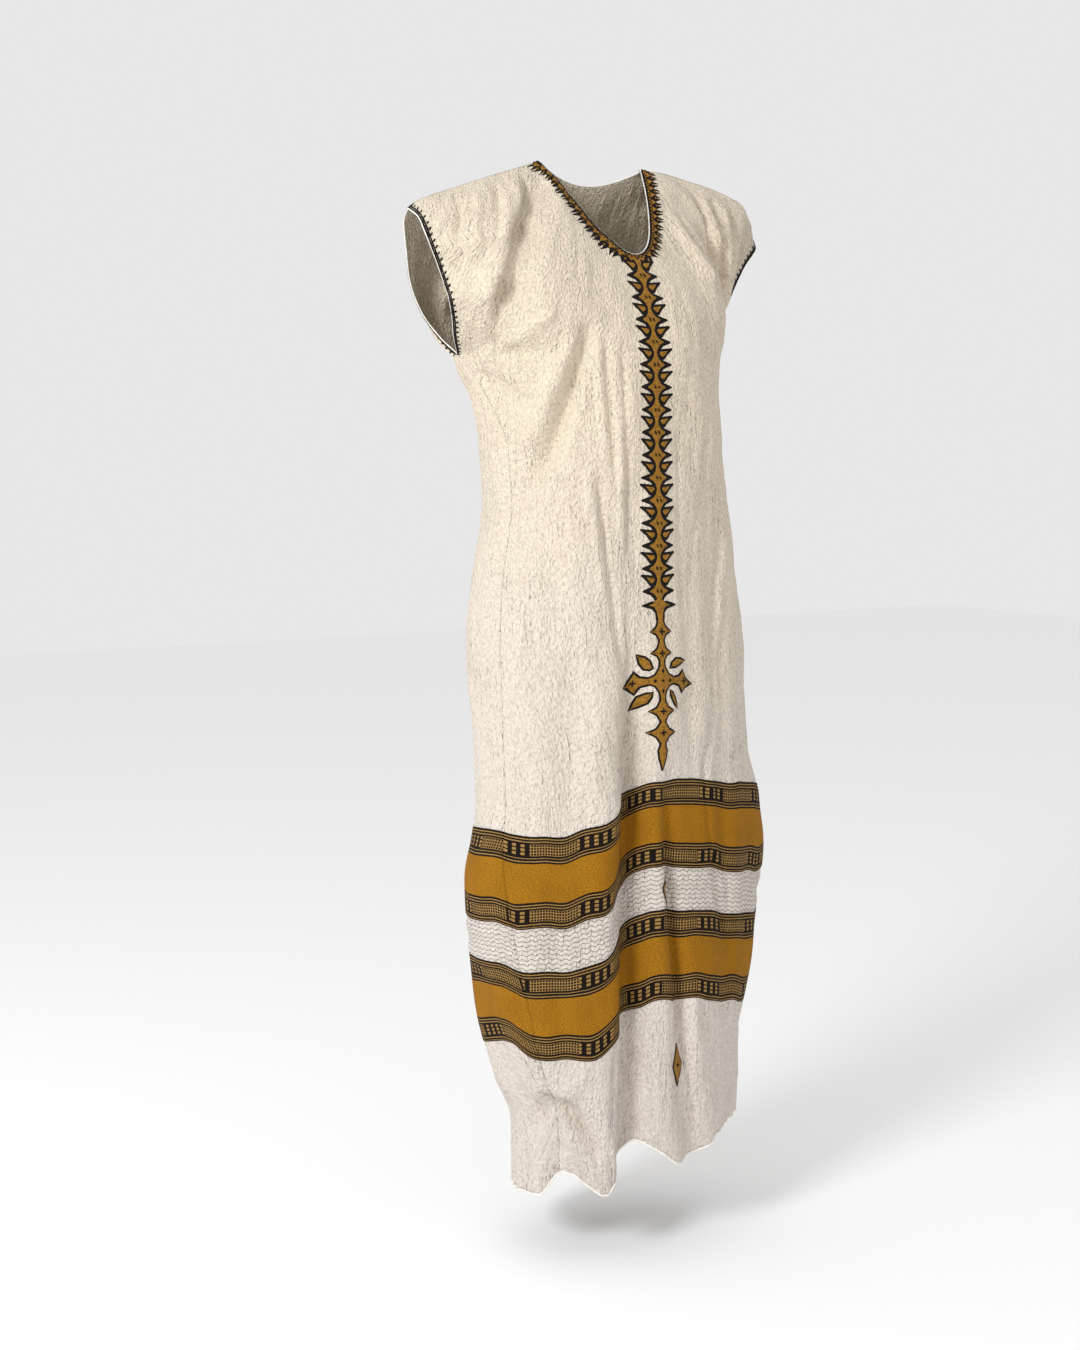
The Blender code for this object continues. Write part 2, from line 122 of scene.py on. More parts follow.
# Hanging folds: x at top, middle and hem, level where the fold starts, depth, width
FRONT_FOLDS = (
    (-0.042, -0.036, -0.036, -0.560, 0.036, 0.019),
    (0.012, 0.016, 0.050, -0.780, 0.014, 0.017),
    (0.105, 0.085, 0.135, -0.420, 0.006, 0.020),
)
BACK_FOLDS = (
    (-0.085, -0.070, -0.062, -0.600, 0.020, 0.024),
    (0.004, 0.010, -0.004, -0.500, 0.012, 0.020),
    (0.100, 0.085, 0.080, -0.640, 0.024, 0.025),
)

# Creases in mm, as depth, width and the x-z places they pass through. A negative depth is a ridge.
FRONT_CREASES = (
    (12, 17, ((-98, -40), (-150, -105))),
    (17, 17, ((-150, -105), (-184, -185))),
    (15, 18, ((-184, -185), (-176, -262))),
    (10, 18, ((118, -50), (165, -130))),
    (14, 18, ((165, -130), (176, -225))),
)
BACK_CREASES = (
    (9, 20, ((-120, -60), (-172, -170))),
    (12, 20, ((-172, -170), (-170, -255))),
    (9, 20, ((120, -60), (165, -170))),
    (12, 20, ((165, -170), (160, -250))),
)

# Soft creases of the gauze in mm
FRONT_SOFT = (
    # groove between right sleeve and chest, and the puckers that run from the underarm
    (7.5, 8, ((-104, -22), (-150, -88), (-186, -150), (-200, -204), (-190, -250))),
    (-4.5, 11, ((-140, -36), (-190, -112), (-214, -178), (-214, -222))),
    (3, 6, ((-198, -246), (-165, -262), (-132, -268))),
    (-1.8, 6, ((-194, -262), (-160, -276), (-126, -284))),
    (6.5, 7, ((-190, -286), (-172, -308), (-146, -334))),
    (-5, 8, ((-192, -274), (-176, -256), (-160, -230), (-132, -206))),
    (2.4, 6, ((-178, -318), (-164, -350), (-142, -372))),
    (13, 11, ((-90, -215), (-104, -265), (-118, -326), (-134, -385), (-154, -450))),
    (-9.5, 12, ((-102, -232), (-122, -282), (-138, -335), (-156, -402))),
    (3.6, 5, ((-86, -400), (-76, -490), (-67, -578), (-57, -672))),
    (-2.4, 6, ((-96, -410), (-87, -500), (-78, -590))),
    # upright creases between the chest and the strip
    (3.4, 4.5, ((-72, -225), (-70, -300), (-64, -380), (-60, -450))),
    (-2.6, 5, ((-82, -235), (-80, -310), (-74, -390))),
    (2.8, 4, ((-50, -230), (-48, -320), (-44, -430), (-42, -540))),
    (-2, 5, ((-58, -330), (-54, -430), (-52, -540))),
    # ridge and valley left of the chest
    (-4, 8, ((81, -66), (92, -105), (113, -143), (137, -169))),
    (6, 8, ((148, -70), (141, -115), (133, -160), (142, -184))),
    (3.5, 6, ((100, -62), (110, -98), (128, -130))),
    # fan of crinkles on the left sleeve
    (5, 4.6, ((150, -205), (160, -140), (158, -60), (150, -22))),
    (-3.6, 5, ((156, -200), (170, -130), (172, -58), (168, -24))),
    (5, 4.6, ((161, -205), (181, -135), (187, -64), (186, -28))),
    (-3.6, 5, ((166, -210), (190, -140), (202, -72), (204, -34))),
    (5, 4.6, ((171, -215), (199, -150), (217, -80), (222, -42))),
    (-3.6, 5, ((176, -218), (206, -160), (231, -88), (240, -52))),
    (3, 4.2, ((180, -225), (212, -168), (241, -100), (256, -64))),
    # crinkles over the right shoulder
    (3.6, 4.8, ((-118, -22), (-126, -52), (-130, -82))),
    (-3, 5.2, ((-134, -24), (-148, -62), (-160, -98))),
    (3.6, 4.8, ((-162, -34), (-184, -82), (-202, -132))),
    (-3, 5.2, ((-192, -44), (-216, -98), (-230, -158))),
    (3.6, 4.8, ((-222, -56), (-240, -112), (-246, -176))),
    # sharp bottoms of the two folds that hang from the motifs
    (5, 5, ((0, -806), (9, -850), (9, -920), (18, -985), (28, -1060),
                      (36, -1140), (48, -1205), (58, -1262), (66, -1310))),
    (-4, 9, ((-10, -800), (-8, -900), (0, -990), (12, -1090), (26, -1200))),
    (-3.5, 10, ((24, -810), (28, -920), (40, -1020), (56, -1140), (74, -1250))),
    # pressed fold down the left side of the front
    (2.6, 3.6, ((136, -420), (114, -540), (91, -656), (90, -732), (70, -807),
                      (80, -904), (100, -991), (127, -1063), (146, -1160))),
    (-2.2, 5, ((146, -430), (124, -545), (101, -660), (101, -735), (82, -812),
                       (92, -906), (112, -993), (138, -1066))),
    # drape of the skirt
    (5, 20, ((-120, -620), (-128, -760), (-122, -900), (-112, -1060))),
    (-4, 18, ((-88, -660), (-90, -800), (-86, -960), (-84, -1120))),
    (4, 16, ((-150, -860), (-146, -980), (-138, -1100), (-120, -1210))),
    (4, 18, ((55, -500), (50, -640), (46, -760))),
    (3.6, 17, ((150, -700), (152, -860), (160, -1000), (166, -1120))),
    (-3, 15, ((120, -860), (128, -980), (140, -1090))),
    (3, 12, ((-30, -400), (-34, -480), (-40, -560))),
    # puckers above the notch on the right of the hem
    (-6.4, 9, ((-146, -1190), (-134, -1217), (-118, -1257), (-88, -1308))),
    (7.2, 7, ((-136, -1206), (-116, -1236), (-96, -1272), (-80, -1300))),
    (3.6, 8, ((-60, -1150), (-66, -1210), (-64, -1280))),
    (-3, 10, ((-100, -1160), (-110, -1190), (-130, -1226))),
)
BACK_SOFT = (
    (4, 8, ((-192, -246), (-150, -290), (-110, -318))),
    (-2.2, 7, ((-186, -270), (-146, -312), (-110, -344))),
    (4, 8, ((176, -246), (140, -288), (100, -316))),
    (-2.2, 7, ((172, -270), (136, -310), (100, -340))),
    (3.6, 6, ((-118, -30), (-150, -86), (-176, -150), (-184, -230))),
    (3.6, 6, ((118, -30), (150, -86), (166, -150), (168, -230))),
    (2.6, 5, ((-170, -40), (-200, -100), (-216, -160))),
    (2.6, 5, ((170, -34), (196, -92), (206, -150))),
    (4.6, 16, ((-120, -360), (-90, -450), (-70, -560))),
    (4.6, 16, ((110, -360), (86, -450), (70, -560))),
    (-3, 14, ((-60, -360), (-44, -460), (-36, -580))),
    (3, 6, ((-84, -660), (-74, -800), (-68, -960), (-64, -1160))),
    (3, 6, ((100, -680), (92, -820), (86, -980), (82, -1180))),
    (4, 16, ((-140, -700), (-136, -860), (-128, -1020))),
    (-3.6, 16, ((40, -700), (40, -880), (36, -1060))),
    (3.6, 16, ((150, -760), (152, -900), (150, -1060))),
)

# Depth that the soft creases are given for each one of the table
SOFT_SHARE = 1.35

# Waves of the cloth as depth, width across and length along the weave
FINE_CRINKLE = (0.0009, 0.0070, 0.022)
CRINKLE = (0.0015, 0.0150, 0.055)
SWELL = (0.0044, 0.050, 0.120)
STRIP_PUCKERS = (0.0012, 0.030, 0.0075)
HEM_SWELL = (0.0012, 0.013, 0.05)
CREASED_PATCHES = (1.5, 0.09, 0.16)
WEFT_WAVES = (0.0042, 0.030, 0.16)

# Where the weft's waves start, how fast they grow, and their seeds front and back
WAVES_HEAD = -0.55
WAVES_FADE = 0.15
WAVES_INSET = 0.03
WAVES_SEED = {1.0: 53, -1.0: 51}

# Depths of the sharp long creases, the hem's gathers, the seam's puckers and the seams' tucks
SHARP_CREASE = 0.0020
HEM_GATHER = 0.0034
SEAM_PUCKER = 0.0062
SIDE_TUCK = 0.0005
SHOULDER_TUCK = 0.0010

# Grey weft lines between the borders: distance apart, length and height of a wave, swell of the cloth
LINE_PITCH = 0.0061
LINE_WAVE = 0.011
LINE_SWING = 0.0011
LINE_PUFF = 0.0008

# Shoulder line: height of the seam on each side
SHOULDER_COLUMNS = ("x", "right_z", "left_z")
SHOULDER = np.array([
    (0.083, 0.000, 0.000),
    (0.120, -0.013, -0.002),
    (0.160, -0.026, -0.009),
    (0.205, -0.042, -0.018),
    (0.245, -0.056, -0.032),
    (0.268, -0.066, -0.055),
    (0.280, -0.076, -0.091),
])

# Edges of the sleeves, from the shoulder seam down to the underarm
SLEEVE_COLUMNS = ("down", "x", "front_y", "back_x", "back_y")
RIGHT_SLEEVE = np.array([
    (0.00, -0.280, 0.000, -0.280, 0.000),
    (0.08, -0.278, -0.027, -0.273, 0.024),
    (0.19, -0.274, -0.037, -0.265, 0.036),
    (0.31, -0.268, -0.044, -0.257, 0.046),
    (0.46, -0.259, -0.049, -0.248, 0.056),
    (0.59, -0.250, -0.050, -0.238, 0.060),
    (0.72, -0.238, -0.040, -0.226, 0.058),
    (0.88, -0.220, -0.014, -0.208, 0.044),
    (1.00, -0.196, 0.018, -0.196, 0.018),
])
LEFT_SLEEVE = np.array([
    (0.00, 0.280, 0.000, 0.280, 0.000),
    (0.08, 0.270, -0.016, 0.276, 0.018),
    (0.23, 0.248, -0.018, 0.266, 0.036),
    (0.50, 0.220, -0.022, 0.242, 0.052),
    (0.75, 0.200, -0.012, 0.214, 0.050),
    (1.00, 0.180, 0.018, 0.180, 0.018),
])

# Embroidery down the front: diamonds of the strip, the cross, and the diamonds above and below it
STRIP_FIRST = -0.1600
STRIP_PITCH = 0.02932
STRIP_DIAMONDS = 15
CROSS_LEVEL = -0.684
HANGING_COLUMNS = ("top", "tips", "foot", "half_width")
HANGING_DIAMONDS = (
    (-0.6057, -0.6227, -0.6346, 0.0165),
    (-0.6346, -0.6505, -0.6606, 0.0163),
    (-0.7104, -0.7249, -0.7384, 0.0189),
    (-0.7384, -0.7527, -0.7672, 0.0204),
)


def curve(value, table, columns, key, name):
    """Reads a table as a smooth curve that doesn't swing past its rows."""
    keys = table[:, columns.index(key)]
    values = table[:, columns.index(name)]
    slopes = np.diff(values) / np.diff(keys)
    tangents = np.concatenate([slopes[:1], np.zeros(len(keys) - 2), slopes[-1:]])
    for row in range(1, len(keys) - 1):
        before, after = slopes[row - 1], slopes[row]
        if before * after > 0:
            tangents[row] = 2 * before * after / (before + after)
    value = np.clip(value, keys[0], keys[-1])
    row = np.clip(np.searchsorted(keys, value, side="right") - 1, 0, len(keys) - 2)
    step = keys[row + 1] - keys[row]
    part = (value - keys[row]) / step
    start = (1 + 2 * part) * (1 - part) ** 2 * values[row] + part * (1 - part) ** 2 * step * tangents[row]
    end = part ** 2 * (3 - 2 * part) * values[row + 1] + part ** 2 * (part - 1) * step * tangents[row + 1]
    return start + end


def ease(part):
    """Rises smoothly from 0 to 1."""
    part = np.clip(part, 0.0, 1.0)
    return part * part * (3 - 2 * part)


def unit(vectors):
    return vectors / np.maximum(np.linalg.norm(vectors, axis=-1, keepdims=True), 1e-12)


def hang(angle, level):
    """Height that the weave gains or loses at an angle, fading out towards the waist."""
    turned = np.mod(angle - HANG[0, 0], 360.0) + HANG[0, 0]
    head, foot, hem = (curve(turned, HANG, HANG_COLUMNS, "angle", name) for name in HANG_COLUMNS[1:])
    if level >= BORDERS_HEAD:
        return head * ease((HANG_ENDS - level) / (HANG_ENDS - BORDERS_HEAD))
    if level >= BORDERS_FOOT:
        part = (BORDERS_HEAD - level) / (BORDERS_HEAD - BORDERS_FOOT)
        return head * (1 - part) + foot * part
    part = (BORDERS_FOOT - level) / (BORDERS_FOOT - HEM)
    return foot * (1 - part) + hem * part


def fold_depth(x, level, folds):
    """Depth that the hanging folds press in at x."""
    depth = np.zeros_like(x)
    for top, middle, hem, starts, deep, wide in folds:
        part = (starts - level) / (starts - HEM)
        if part <= 0:
            continue
        line = top * (1 - part) ** 2 + 2 * middle * part * (1 - part) + hem * part ** 2
        depth += deep * ease(part / 0.35) * np.exp(-((x - line) / wide) ** 2)
    return depth


def section(angle, level):
    """Points of one horizontal section of the skirt and bodice."""
    turn = np.radians(angle)
    across, forward = np.cos(turn), np.sin(turn)
    power = 2 / SECTION_POWER
    right, left, front, back, widest = (
        curve(level, SECTIONS, SECTION_COLUMNS, "level", name) for name in SECTION_COLUMNS[1:6])
    x = np.where(across < 0, -right, left) * np.sign(across) * np.abs(across) ** power
    reach = np.where(forward > 0, front - widest, back - widest)
    y = widest + reach * np.abs(forward) ** power
    y = y + np.where(forward > 0, fold_depth(x, level, FRONT_FOLDS), -fold_depth(x, level, BACK_FOLDS))
    return np.stack([x, y, level + hang(angle, level)], axis=-1)


def spread(points, count):
    """Spaces points evenly along a line."""
    run = np.concatenate([[0.0], np.cumsum(np.linalg.norm(np.diff(points, axis=0), axis=1))])
    places = np.linspace(0.0, run[-1], count + 1)
    return np.stack([np.interp(places, run, points[:, axis]) for axis in range(3)], axis=-1)


def tube_row(level, middle):
    """One row of a panel, right seam to left seam, through the angle of its middle."""
    right = float(curve(level, SECTIONS, SECTION_COLUMNS, "level", "right_seam"))
    left = float(curve(level, SECTIONS, SECTION_COLUMNS, "level", "left_seam"))
    if middle > 180.0:
        left += 360.0
    halves = [spread(section(np.linspace(start, end, 400), level), HALF_COLUMNS)
              for start, end in ((right, middle), (middle, left))]
    return np.concatenate([halves[0], halves[1][1:]])


def top_row(drop, slope):
    """The upper edge of a panel: shoulder seam, neckline, shoulder seam."""
    points = []
    for column in range(-HALF_COLUMNS, HALF_COLUMNS + 1):
        side = "right_z" if column < 0 else "left_z"
        sign = -1.0 if column < 0 else 1.0
        out = abs(column)
        neck_end = HALF_COLUMNS - NECK_COLUMN
        if out >= neck_end:
            part = (out - neck_end) / NECK_COLUMN
            x = NECK_HALF + (SHOULDER[-1, 0] - NECK_HALF) * part
            points.append((sign * x, 0.0, float(curve(x, SHOULDER, SHOULDER_COLUMNS, "x", side))))
        else:
            part = out / neck_end
            z = -drop * (1 - part ** NECK_ROUNDING)
            points.append((sign * NECK_HALF * part, slope * z, z))
    return np.array(points)


def sleeve_edge(table, along, low, x_name, y_name):
    """A point of a sleeve's edge, from the underarm (0) to the shoulder seam (1)."""
    down = 1.0 - along
    tip = SHOULDER[-1, 1] if table is RIGHT_SLEEVE else SHOULDER[-1, 2]
    x = float(curve(down, table, SLEEVE_COLUMNS, "down", x_name))
    y = float(curve(down, table, SLEEVE_COLUMNS, "down", y_name))
    return np.array([x, y, tip + (low - tip) * down])


def upper_rows(bottom, top, x_name, y_name):
    """Rows of the yoke, between the underarm and the shoulders and between the sleeves' edges."""
    columns = np.abs(np.arange(-HALF_COLUMNS, HALF_COLUMNS + 1)) / HALF_COLUMNS
    near_side = ease(columns)[:, None]
    lean = CENTRE_LEAN + (SIDE_LEAN - CENTRE_LEAN) * ease(columns)
    right = np.arange(len(bottom)) <= HALF_COLUMNS
    rows = []
    for row in range(1, UPPER_ROWS + 1):
        part = row / UPPER_ROWS
        climb = LOW_LIFT * part - (LOW_LIFT - 1) * part ** 2
        rise = np.stack([np.full_like(lean, part), part ** lean, np.full_like(lean, climb)], axis=-1)
        points = bottom * (1 - rise) + top * rise
        for end, table, half in ((0, RIGHT_SLEEVE, right), (-1, LEFT_SLEEVE, ~right)):
            edge = sleeve_edge(table, climb, bottom[end, 2], x_name, y_name)
            points = points + (edge - points[end]) * near_side * half[:, None]
        rows.append(points)
    return rows


def weave_levels():
    """Levels of the grid's rows, with one on each edge of the woven borders."""
    stops = (HEM, BORDERS_FOOT, LOWER_HEAD, UPPER_FOOT, BORDERS_HEAD, UNDERARM)
    levels = [HEM]
    for low, high in zip(stops[:-1], stops[1:]):
        levels.extend(np.linspace(low, high, round((high - low) / ROW_STEP) + 1)[1:])
    return np.array(levels)


def pressed(points, creases):
    """Depth that creases press in at each point, told from their x-z lines."""
    depth = np.zeros(points.shape[:-1])
    places = points[..., [0, 2]]
    for deep, wide, stops in creases:
        stops = np.array(stops) * MM
        nearest = np.full(depth.shape, np.inf)
        along = np.zeros(depth.shape)
        for index, (start, end) in enumerate(zip(stops[:-1], stops[1:])):
            run = end - start
            part = np.clip((places - start) @ run / (run @ run), 0.0, 1.0)
            distance = np.linalg.norm(places - start - part[..., None] * run, axis=-1)
            closer = distance < nearest
            nearest = np.where(closer, distance, nearest)
            along = np.where(closer, (index + part) / (len(stops) - 1), along)
        ends = ease(along / 0.2) * ease((1 - along) / 0.2) if len(stops) > 2 else 1.0
        depth += deep * MM * np.exp(-(nearest / (wide * MM)) ** 2) * ends
    return depth


def ripple(across, along, seed):
    """Smooth seeded noise between -1 and 1, one swell to each whole number."""
    swells = np.random.default_rng(seed).uniform(-1.0, 1.0, (256, 256))
    column, row = np.floor(across).astype(int), np.floor(along).astype(int)
    right, up = ease(across - column), ease(along - row)
    corner = [[swells[np.mod(row + j, 256), np.mod(column + i, 256)] for i in (0, 1)] for j in (0, 1)]
    low = corner[0][0] * (1 - right) + corner[0][1] * right
    high = corner[1][0] * (1 - right) + corner[1][1] * right
    return low * (1 - up) + high * up


def within(value, low, high, soft):
    """1 between low and high, easing to 0 outside."""
    return ease((value - low) / soft + 1) * ease((high - value) / soft + 1)


def to_edge(across):
    """Distance from each place to the nearer side seam or sleeve edge."""
    return np.minimum(across - across[:, :1], across[:, -1:] - across)


def waves(panel, form, seed):
    """Uneven waves from their depth, width across and length along the weave."""
    depth, width, length = form
    return depth * ripple(panel["across"] / width, panel["along"] / length, seed)


def flat_panel(middle, drop, slope, creases, names, side):
    """A panel's form before the gauze crinkles, with its places in the weave."""
    levels = weave_levels()
    rows = [tube_row(level, middle) for level in levels]
    rows += upper_rows(rows[-1], top_row(drop, slope), *names)
    grid = np.array(rows)
    depth = pressed(grid, creases) * ease(-grid[..., 2] / 0.06)
    depth[:, [0, -1]] = 0.0
    grid[..., 1] += side * depth
    steps = np.linalg.norm(np.diff(grid, axis=1), axis=2)
    run = np.concatenate([np.zeros((len(grid), 1)), np.cumsum(steps, axis=1)], axis=1)
    across = run - run[:, HALF_COLUMNS:HALF_COLUMNS + 1]
    climbs = np.linalg.norm(np.diff(grid[len(levels) - 1:], axis=0), axis=2)
    along = np.repeat(levels[:, None], grid.shape[1], axis=1)
    along = np.concatenate([along, UNDERARM + np.cumsum(climbs, axis=0)])
    panel = {"side": side, "points": grid, "across": across, "along": along}
    skirt = ease((WAVES_HEAD - along) / WAVES_FADE) * ease(to_edge(across) / WAVES_INSET)
    grid[..., 2] += waves(panel, WEFT_WAVES, WAVES_SEED[side]) * skirt
    return panel


def normals_of(panel):
    """Normals of a panel's grid, pointing out of the dress."""
    over = np.gradient(panel["points"], axis=1)
    up = np.gradient(panel["points"], axis=0)
    return unit(np.cross(over, up)) * panel["side"]


def seam_places():
    """Rows and columns of the grid where the two panels are sewn together."""
    sides = len(weave_levels())
    neck_end = HALF_COLUMNS - NECK_COLUMN
    last = sides + UPPER_ROWS - 1
    places = [(row, column) for column in (0, 2 * HALF_COLUMNS) for row in range(sides)]
    places += [(last, column) for column in range(2 * HALF_COLUMNS + 1)
               if abs(column - HALF_COLUMNS) >= neck_end]
    return tuple(np.array(places).T)


def share_normals(front, back):
    """Gives both panels the same normals along their seams."""
    front["out"], back["out"] = normals_of(front), normals_of(back)
    seams = seam_places()
    shared = unit(front["out"][seams] + back["out"][seams])
    front["out"][seams] = shared
    back["out"][seams] = shared


def crinkle(panel, soft, seed):
    """Depth of the gauze's crinkle, its soft creases, and its gathers and puckers at the hem."""
    across, along = panel["across"], panel["along"]
    front = panel["side"] > 0
    height = panel["points"][..., 2]
    top = along[-1] - along
    neck = np.abs(np.arange(across.shape[1]) - HALF_COLUMNS) < HALF_COLUMNS - NECK_COLUMN
    woven = within(along, UPPER_FOOT, BORDERS_HEAD, 0.006) + within(along, BORDERS_FOOT, LOWER_HEAD, 0.006)

    fine = waves(panel, FINE_CRINKLE, seed) + waves(panel, CRINKLE, seed + 1)
    turn = ripple(across / 0.030, along / 0.200, seed + 5)
    patches = ease(0.5 + waves(panel, CREASED_PATCHES, seed + 6))
    fine += SHARP_CREASE * np.exp(-(turn / 0.10) ** 2) * patches
    if front:
        beside = within(np.abs(across), 0.030, 0.046, 0.014) * within(height, -0.62, -0.16, 0.03)
        fine += waves(panel, STRIP_PUCKERS, seed + 8) * beside
    gathers = HEM_GATHER * ripple(across / 0.0068, along * 0 + 7.5, seed + 3) * np.exp(-(along - HEM) / 0.022)
    gathers += waves(panel, HEM_SWELL, seed + 4) * np.exp(-(along - HEM) / 0.070)

    # the weave is stiffer at the borders, below the embroidery and round the neck
    calm = 1 - 0.80 * woven
    if front:
        calm = calm * (1 - 0.85 * within(across, -0.028, 0.028, 0.010) * within(height, -0.79, -0.10, 0.02))
    calm = calm * (1 - 0.75 * ease((0.030 - top) / 0.012) * neck)

    between_borders = within(along, LOWER_HEAD, UPPER_FOOT, 0.004) * (1 - np.clip(woven, 0, 1))
    puff = LINE_PUFF * np.sin((along - LOWER_HEAD) / LINE_PITCH * 2 * math.pi) * between_borders
    creases = SOFT_SHARE * pressed(panel["points"], soft) * (1 - 0.35 * woven)
    depth = (fine + gathers) * calm + waves(panel, SWELL, seed + 2) + puff + creases

    # the right side seam draws in puckers above the hem, which slant down away from it
    apart = across - across[:, :1]
    slant = ripple((along + 0.9 * apart) / 0.017, along * 0 + 3.5, 59)
    puckers = SEAM_PUCKER * slant * np.exp(-(apart / 0.050) ** 2) * ease((-1.150 - along) / 0.040)
    edge = to_edge(across)
    tuck = SIDE_TUCK * np.exp(-(edge / 0.0035) ** 2) * (along <= UNDERARM)
    tuck += SHOULDER_TUCK * np.exp(-(top / 0.0035) ** 2) * ~neck
    shoulder_fade = np.where(neck, 1.0, ease(top / 0.014))
    return depth * ease(edge / 0.014) * shoulder_fade + tuck + puckers


def make_cloth():
    """The two crinkled panels, each as a grid of places, normals and places in the weave."""
    front = flat_panel(90.0, NECK_FRONT_DROP, CHEST_SLOPE, FRONT_CREASES, ("x", "front_y"), 1.0)
    back = flat_panel(270.0, NECK_BACK_DROP, -BACK_SLOPE, BACK_CREASES, ("back_x", "back_y"), -1.0)
    share_normals(front, back)
    for panel, soft, seed in ((front, FRONT_SOFT, 11), (back, BACK_SOFT, 31)):
        panel["points"] = panel["points"] - panel["out"] * crinkle(panel, soft, seed)[..., None]
    share_normals(front, back)
    for panel in (front, back):
        rows, columns = panel["points"].shape[:2]
        index = np.arange(rows * columns).reshape(rows, columns)
        quads = np.stack([index[:-1, :-1], index[:-1, 1:], index[1:, 1:], index[1:, :-1]], -1).reshape(-1, 4)
        if panel["side"] < 0:
            quads = quads[:, ::-1]
        panel["tree"] = BVHTree.FromPolygons(panel["points"].reshape(-1, 3).tolist(), quads.tolist())
    return front, back


def piece_from(name, points, faces, finishes, which=None):
    """A shaded mesh object in place, with its finishes."""
    mesh = bpy.data.meshes.new(name)
    mesh.from_pydata(np.asarray(points).tolist(), [], faces)
    for finish in finishes:
        mesh.materials.append(finish)
    if which is not None:
        mesh.polygons.foreach_set("material_index", which)
    mesh.shade_smooth()
    piece = bpy.data.objects.new(name, mesh)
    bpy.context.scene.collection.objects.link(piece)
    return piece


def shell(name, panel, rows, lift, thick, finish):
    """A closed sheet over some rows of a panel, with its weave as a UV map in metres."""
    out = panel["out"][rows]
    outer = panel["points"][rows] + out * lift
    inner = outer - out * thick
    count_rows, columns = outer.shape[:2]
    index = np.arange(count_rows * columns).reshape(count_rows, columns)
    quads = np.stack([index[:-1, :-1], index[:-1, 1:], index[1:, 1:], index[1:, :-1]], -1).reshape(-1, 4)
    rim = np.concatenate([index[0], index[1:, -1], index[-1, -2::-1], index[-2:0:-1, 0]])
    after = np.roll(rim, -1)
    count = index.size
    sides = np.stack([after, rim, rim + count, after + count], -1)
    faces = np.concatenate([quads, quads[:, ::-1] + count, sides])
    if panel["side"] < 0:
        faces = faces[:, ::-1]
    points = np.concatenate([outer.reshape(-1, 3), inner.reshape(-1, 3)])
    piece = piece_from(name, points, faces.tolist(), [finish])
    weave = np.stack([panel["across"][rows], panel["along"][rows]], -1).reshape(-1, 2)
    weave = np.concatenate([weave, weave])
    loops = np.empty(len(piece.data.loops), dtype=np.int32)
    piece.data.loops.foreach_get("vertex_index", loops)
    layer = piece.data.uv_layers.new(name="weave")
    layer.data.foreach_set("uv", weave[loops].ravel())
    return piece


def border_rows(head):
    """Rows of the grid between a border's foot and head."""
    levels = weave_levels()
    return np.nonzero((levels > head - BORDER_HEIGHT - 0.0005) & (levels < head + 0.0005))[0]


def seat(panel, x, z):
    """The panel's place and normal at x and z in front view."""
    side = panel["side"]
    place, out, face, distance = panel["tree"].ray_cast(Vector((x, -side, z)), Vector((0, side, 0)))
    if place is None:
        place, out, face, distance = panel["tree"].find_nearest(Vector((x, -0.16 * side, z)))
    return np.array(place), np.array(out)


def densify(outline, step):
    """Adds points to a closed outline so that none are more than a step apart."""
    outline = np.array(outline, dtype=float)
    dense = []
    for start, end in zip(outline, np.roll(outline, -1, axis=0)):
        count = max(1, math.ceil(np.linalg.norm(end - start) / step))
        dense.extend(start + (end - start) * part / count for part in range(count))
    return np.array(dense)


PAD_RINGS = ((1.0, -0.25), (0.93, 0.45), (0.80, 0.85), (0.50, 1.0))


def pad(work, place, outline, lift, height, finish):
    """A raised patch of stitches over a star-shaped outline. place turns plan places into 3-D ones."""
    outline = densify(outline, 0.0035)
    middle = outline.mean(axis=0)
    centre, out = place(*middle)
    ring = np.array([place(*spot)[0] for spot in outline]) - centre
    if np.cross(ring, np.roll(ring, -1, axis=0)).sum(axis=0) @ out < 0:
        outline = outline[::-1]
    count = len(outline)
    first = len(work["points"])
    for scale, rise in PAD_RINGS:
        for spot in outline:
            where, way = place(*(middle + (spot - middle) * scale))
            work["points"].append(where + way * (lift + rise * height))
    work["points"].append(centre + out * (lift + height))
    for ring in range(len(PAD_RINGS) - 1):
        low = first + ring * count
        for spot in range(count):
            after = (spot + 1) % count
            work["faces"].append((low + spot, low + after, low + count + after, low + count + spot))
            work["which"].append(finish)
    top = first + (len(PAD_RINGS) - 1) * count
    for spot in range(count):
        work["faces"].append((top + spot, top + (spot + 1) % count, top + count))
        work["which"].append(finish)


def tube(work, path, radius, finish, sides=8):
    """A soft cord along a path: places, each with a normal to start its sides from."""
    points, outs = path
    ways = unit(np.gradient(points, axis=0))
    cross = unit(np.cross(ways, outs))
    up = np.cross(cross, ways)
    first = len(work["points"])
    turns = np.linspace(0, 2 * math.pi, sides, endpoint=False)
    for spot, (point, a, b) in enumerate(zip(points, up, cross)):
        size = radius[spot] if hasattr(radius, "__len__") else radius
        for turn in turns:
            work["points"].append(point + (a * math.cos(turn) + b * math.sin(turn)) * size)
    for spot in range(len(points) - 1):
        for side in range(sides):
            after = (side + 1) % sides
            low = first + spot * sides
            work["faces"].append((low + side, low + after, low + sides + after, low + sides + side))
            work["which"].append(finish)
    for end, order in ((first, -1), (first + (len(points) - 1) * sides, 1)):
        work["faces"].append(tuple(range(end, end + sides))[::order])
        work["which"].append(finish)


def new_work():
    return {"points": [], "faces": [], "which": []}


def finished(name, work, finishes):
    """Turns a heap of pads and cords into one piece."""
    return piece_from(name, work["points"], work["faces"], finishes, work["which"])


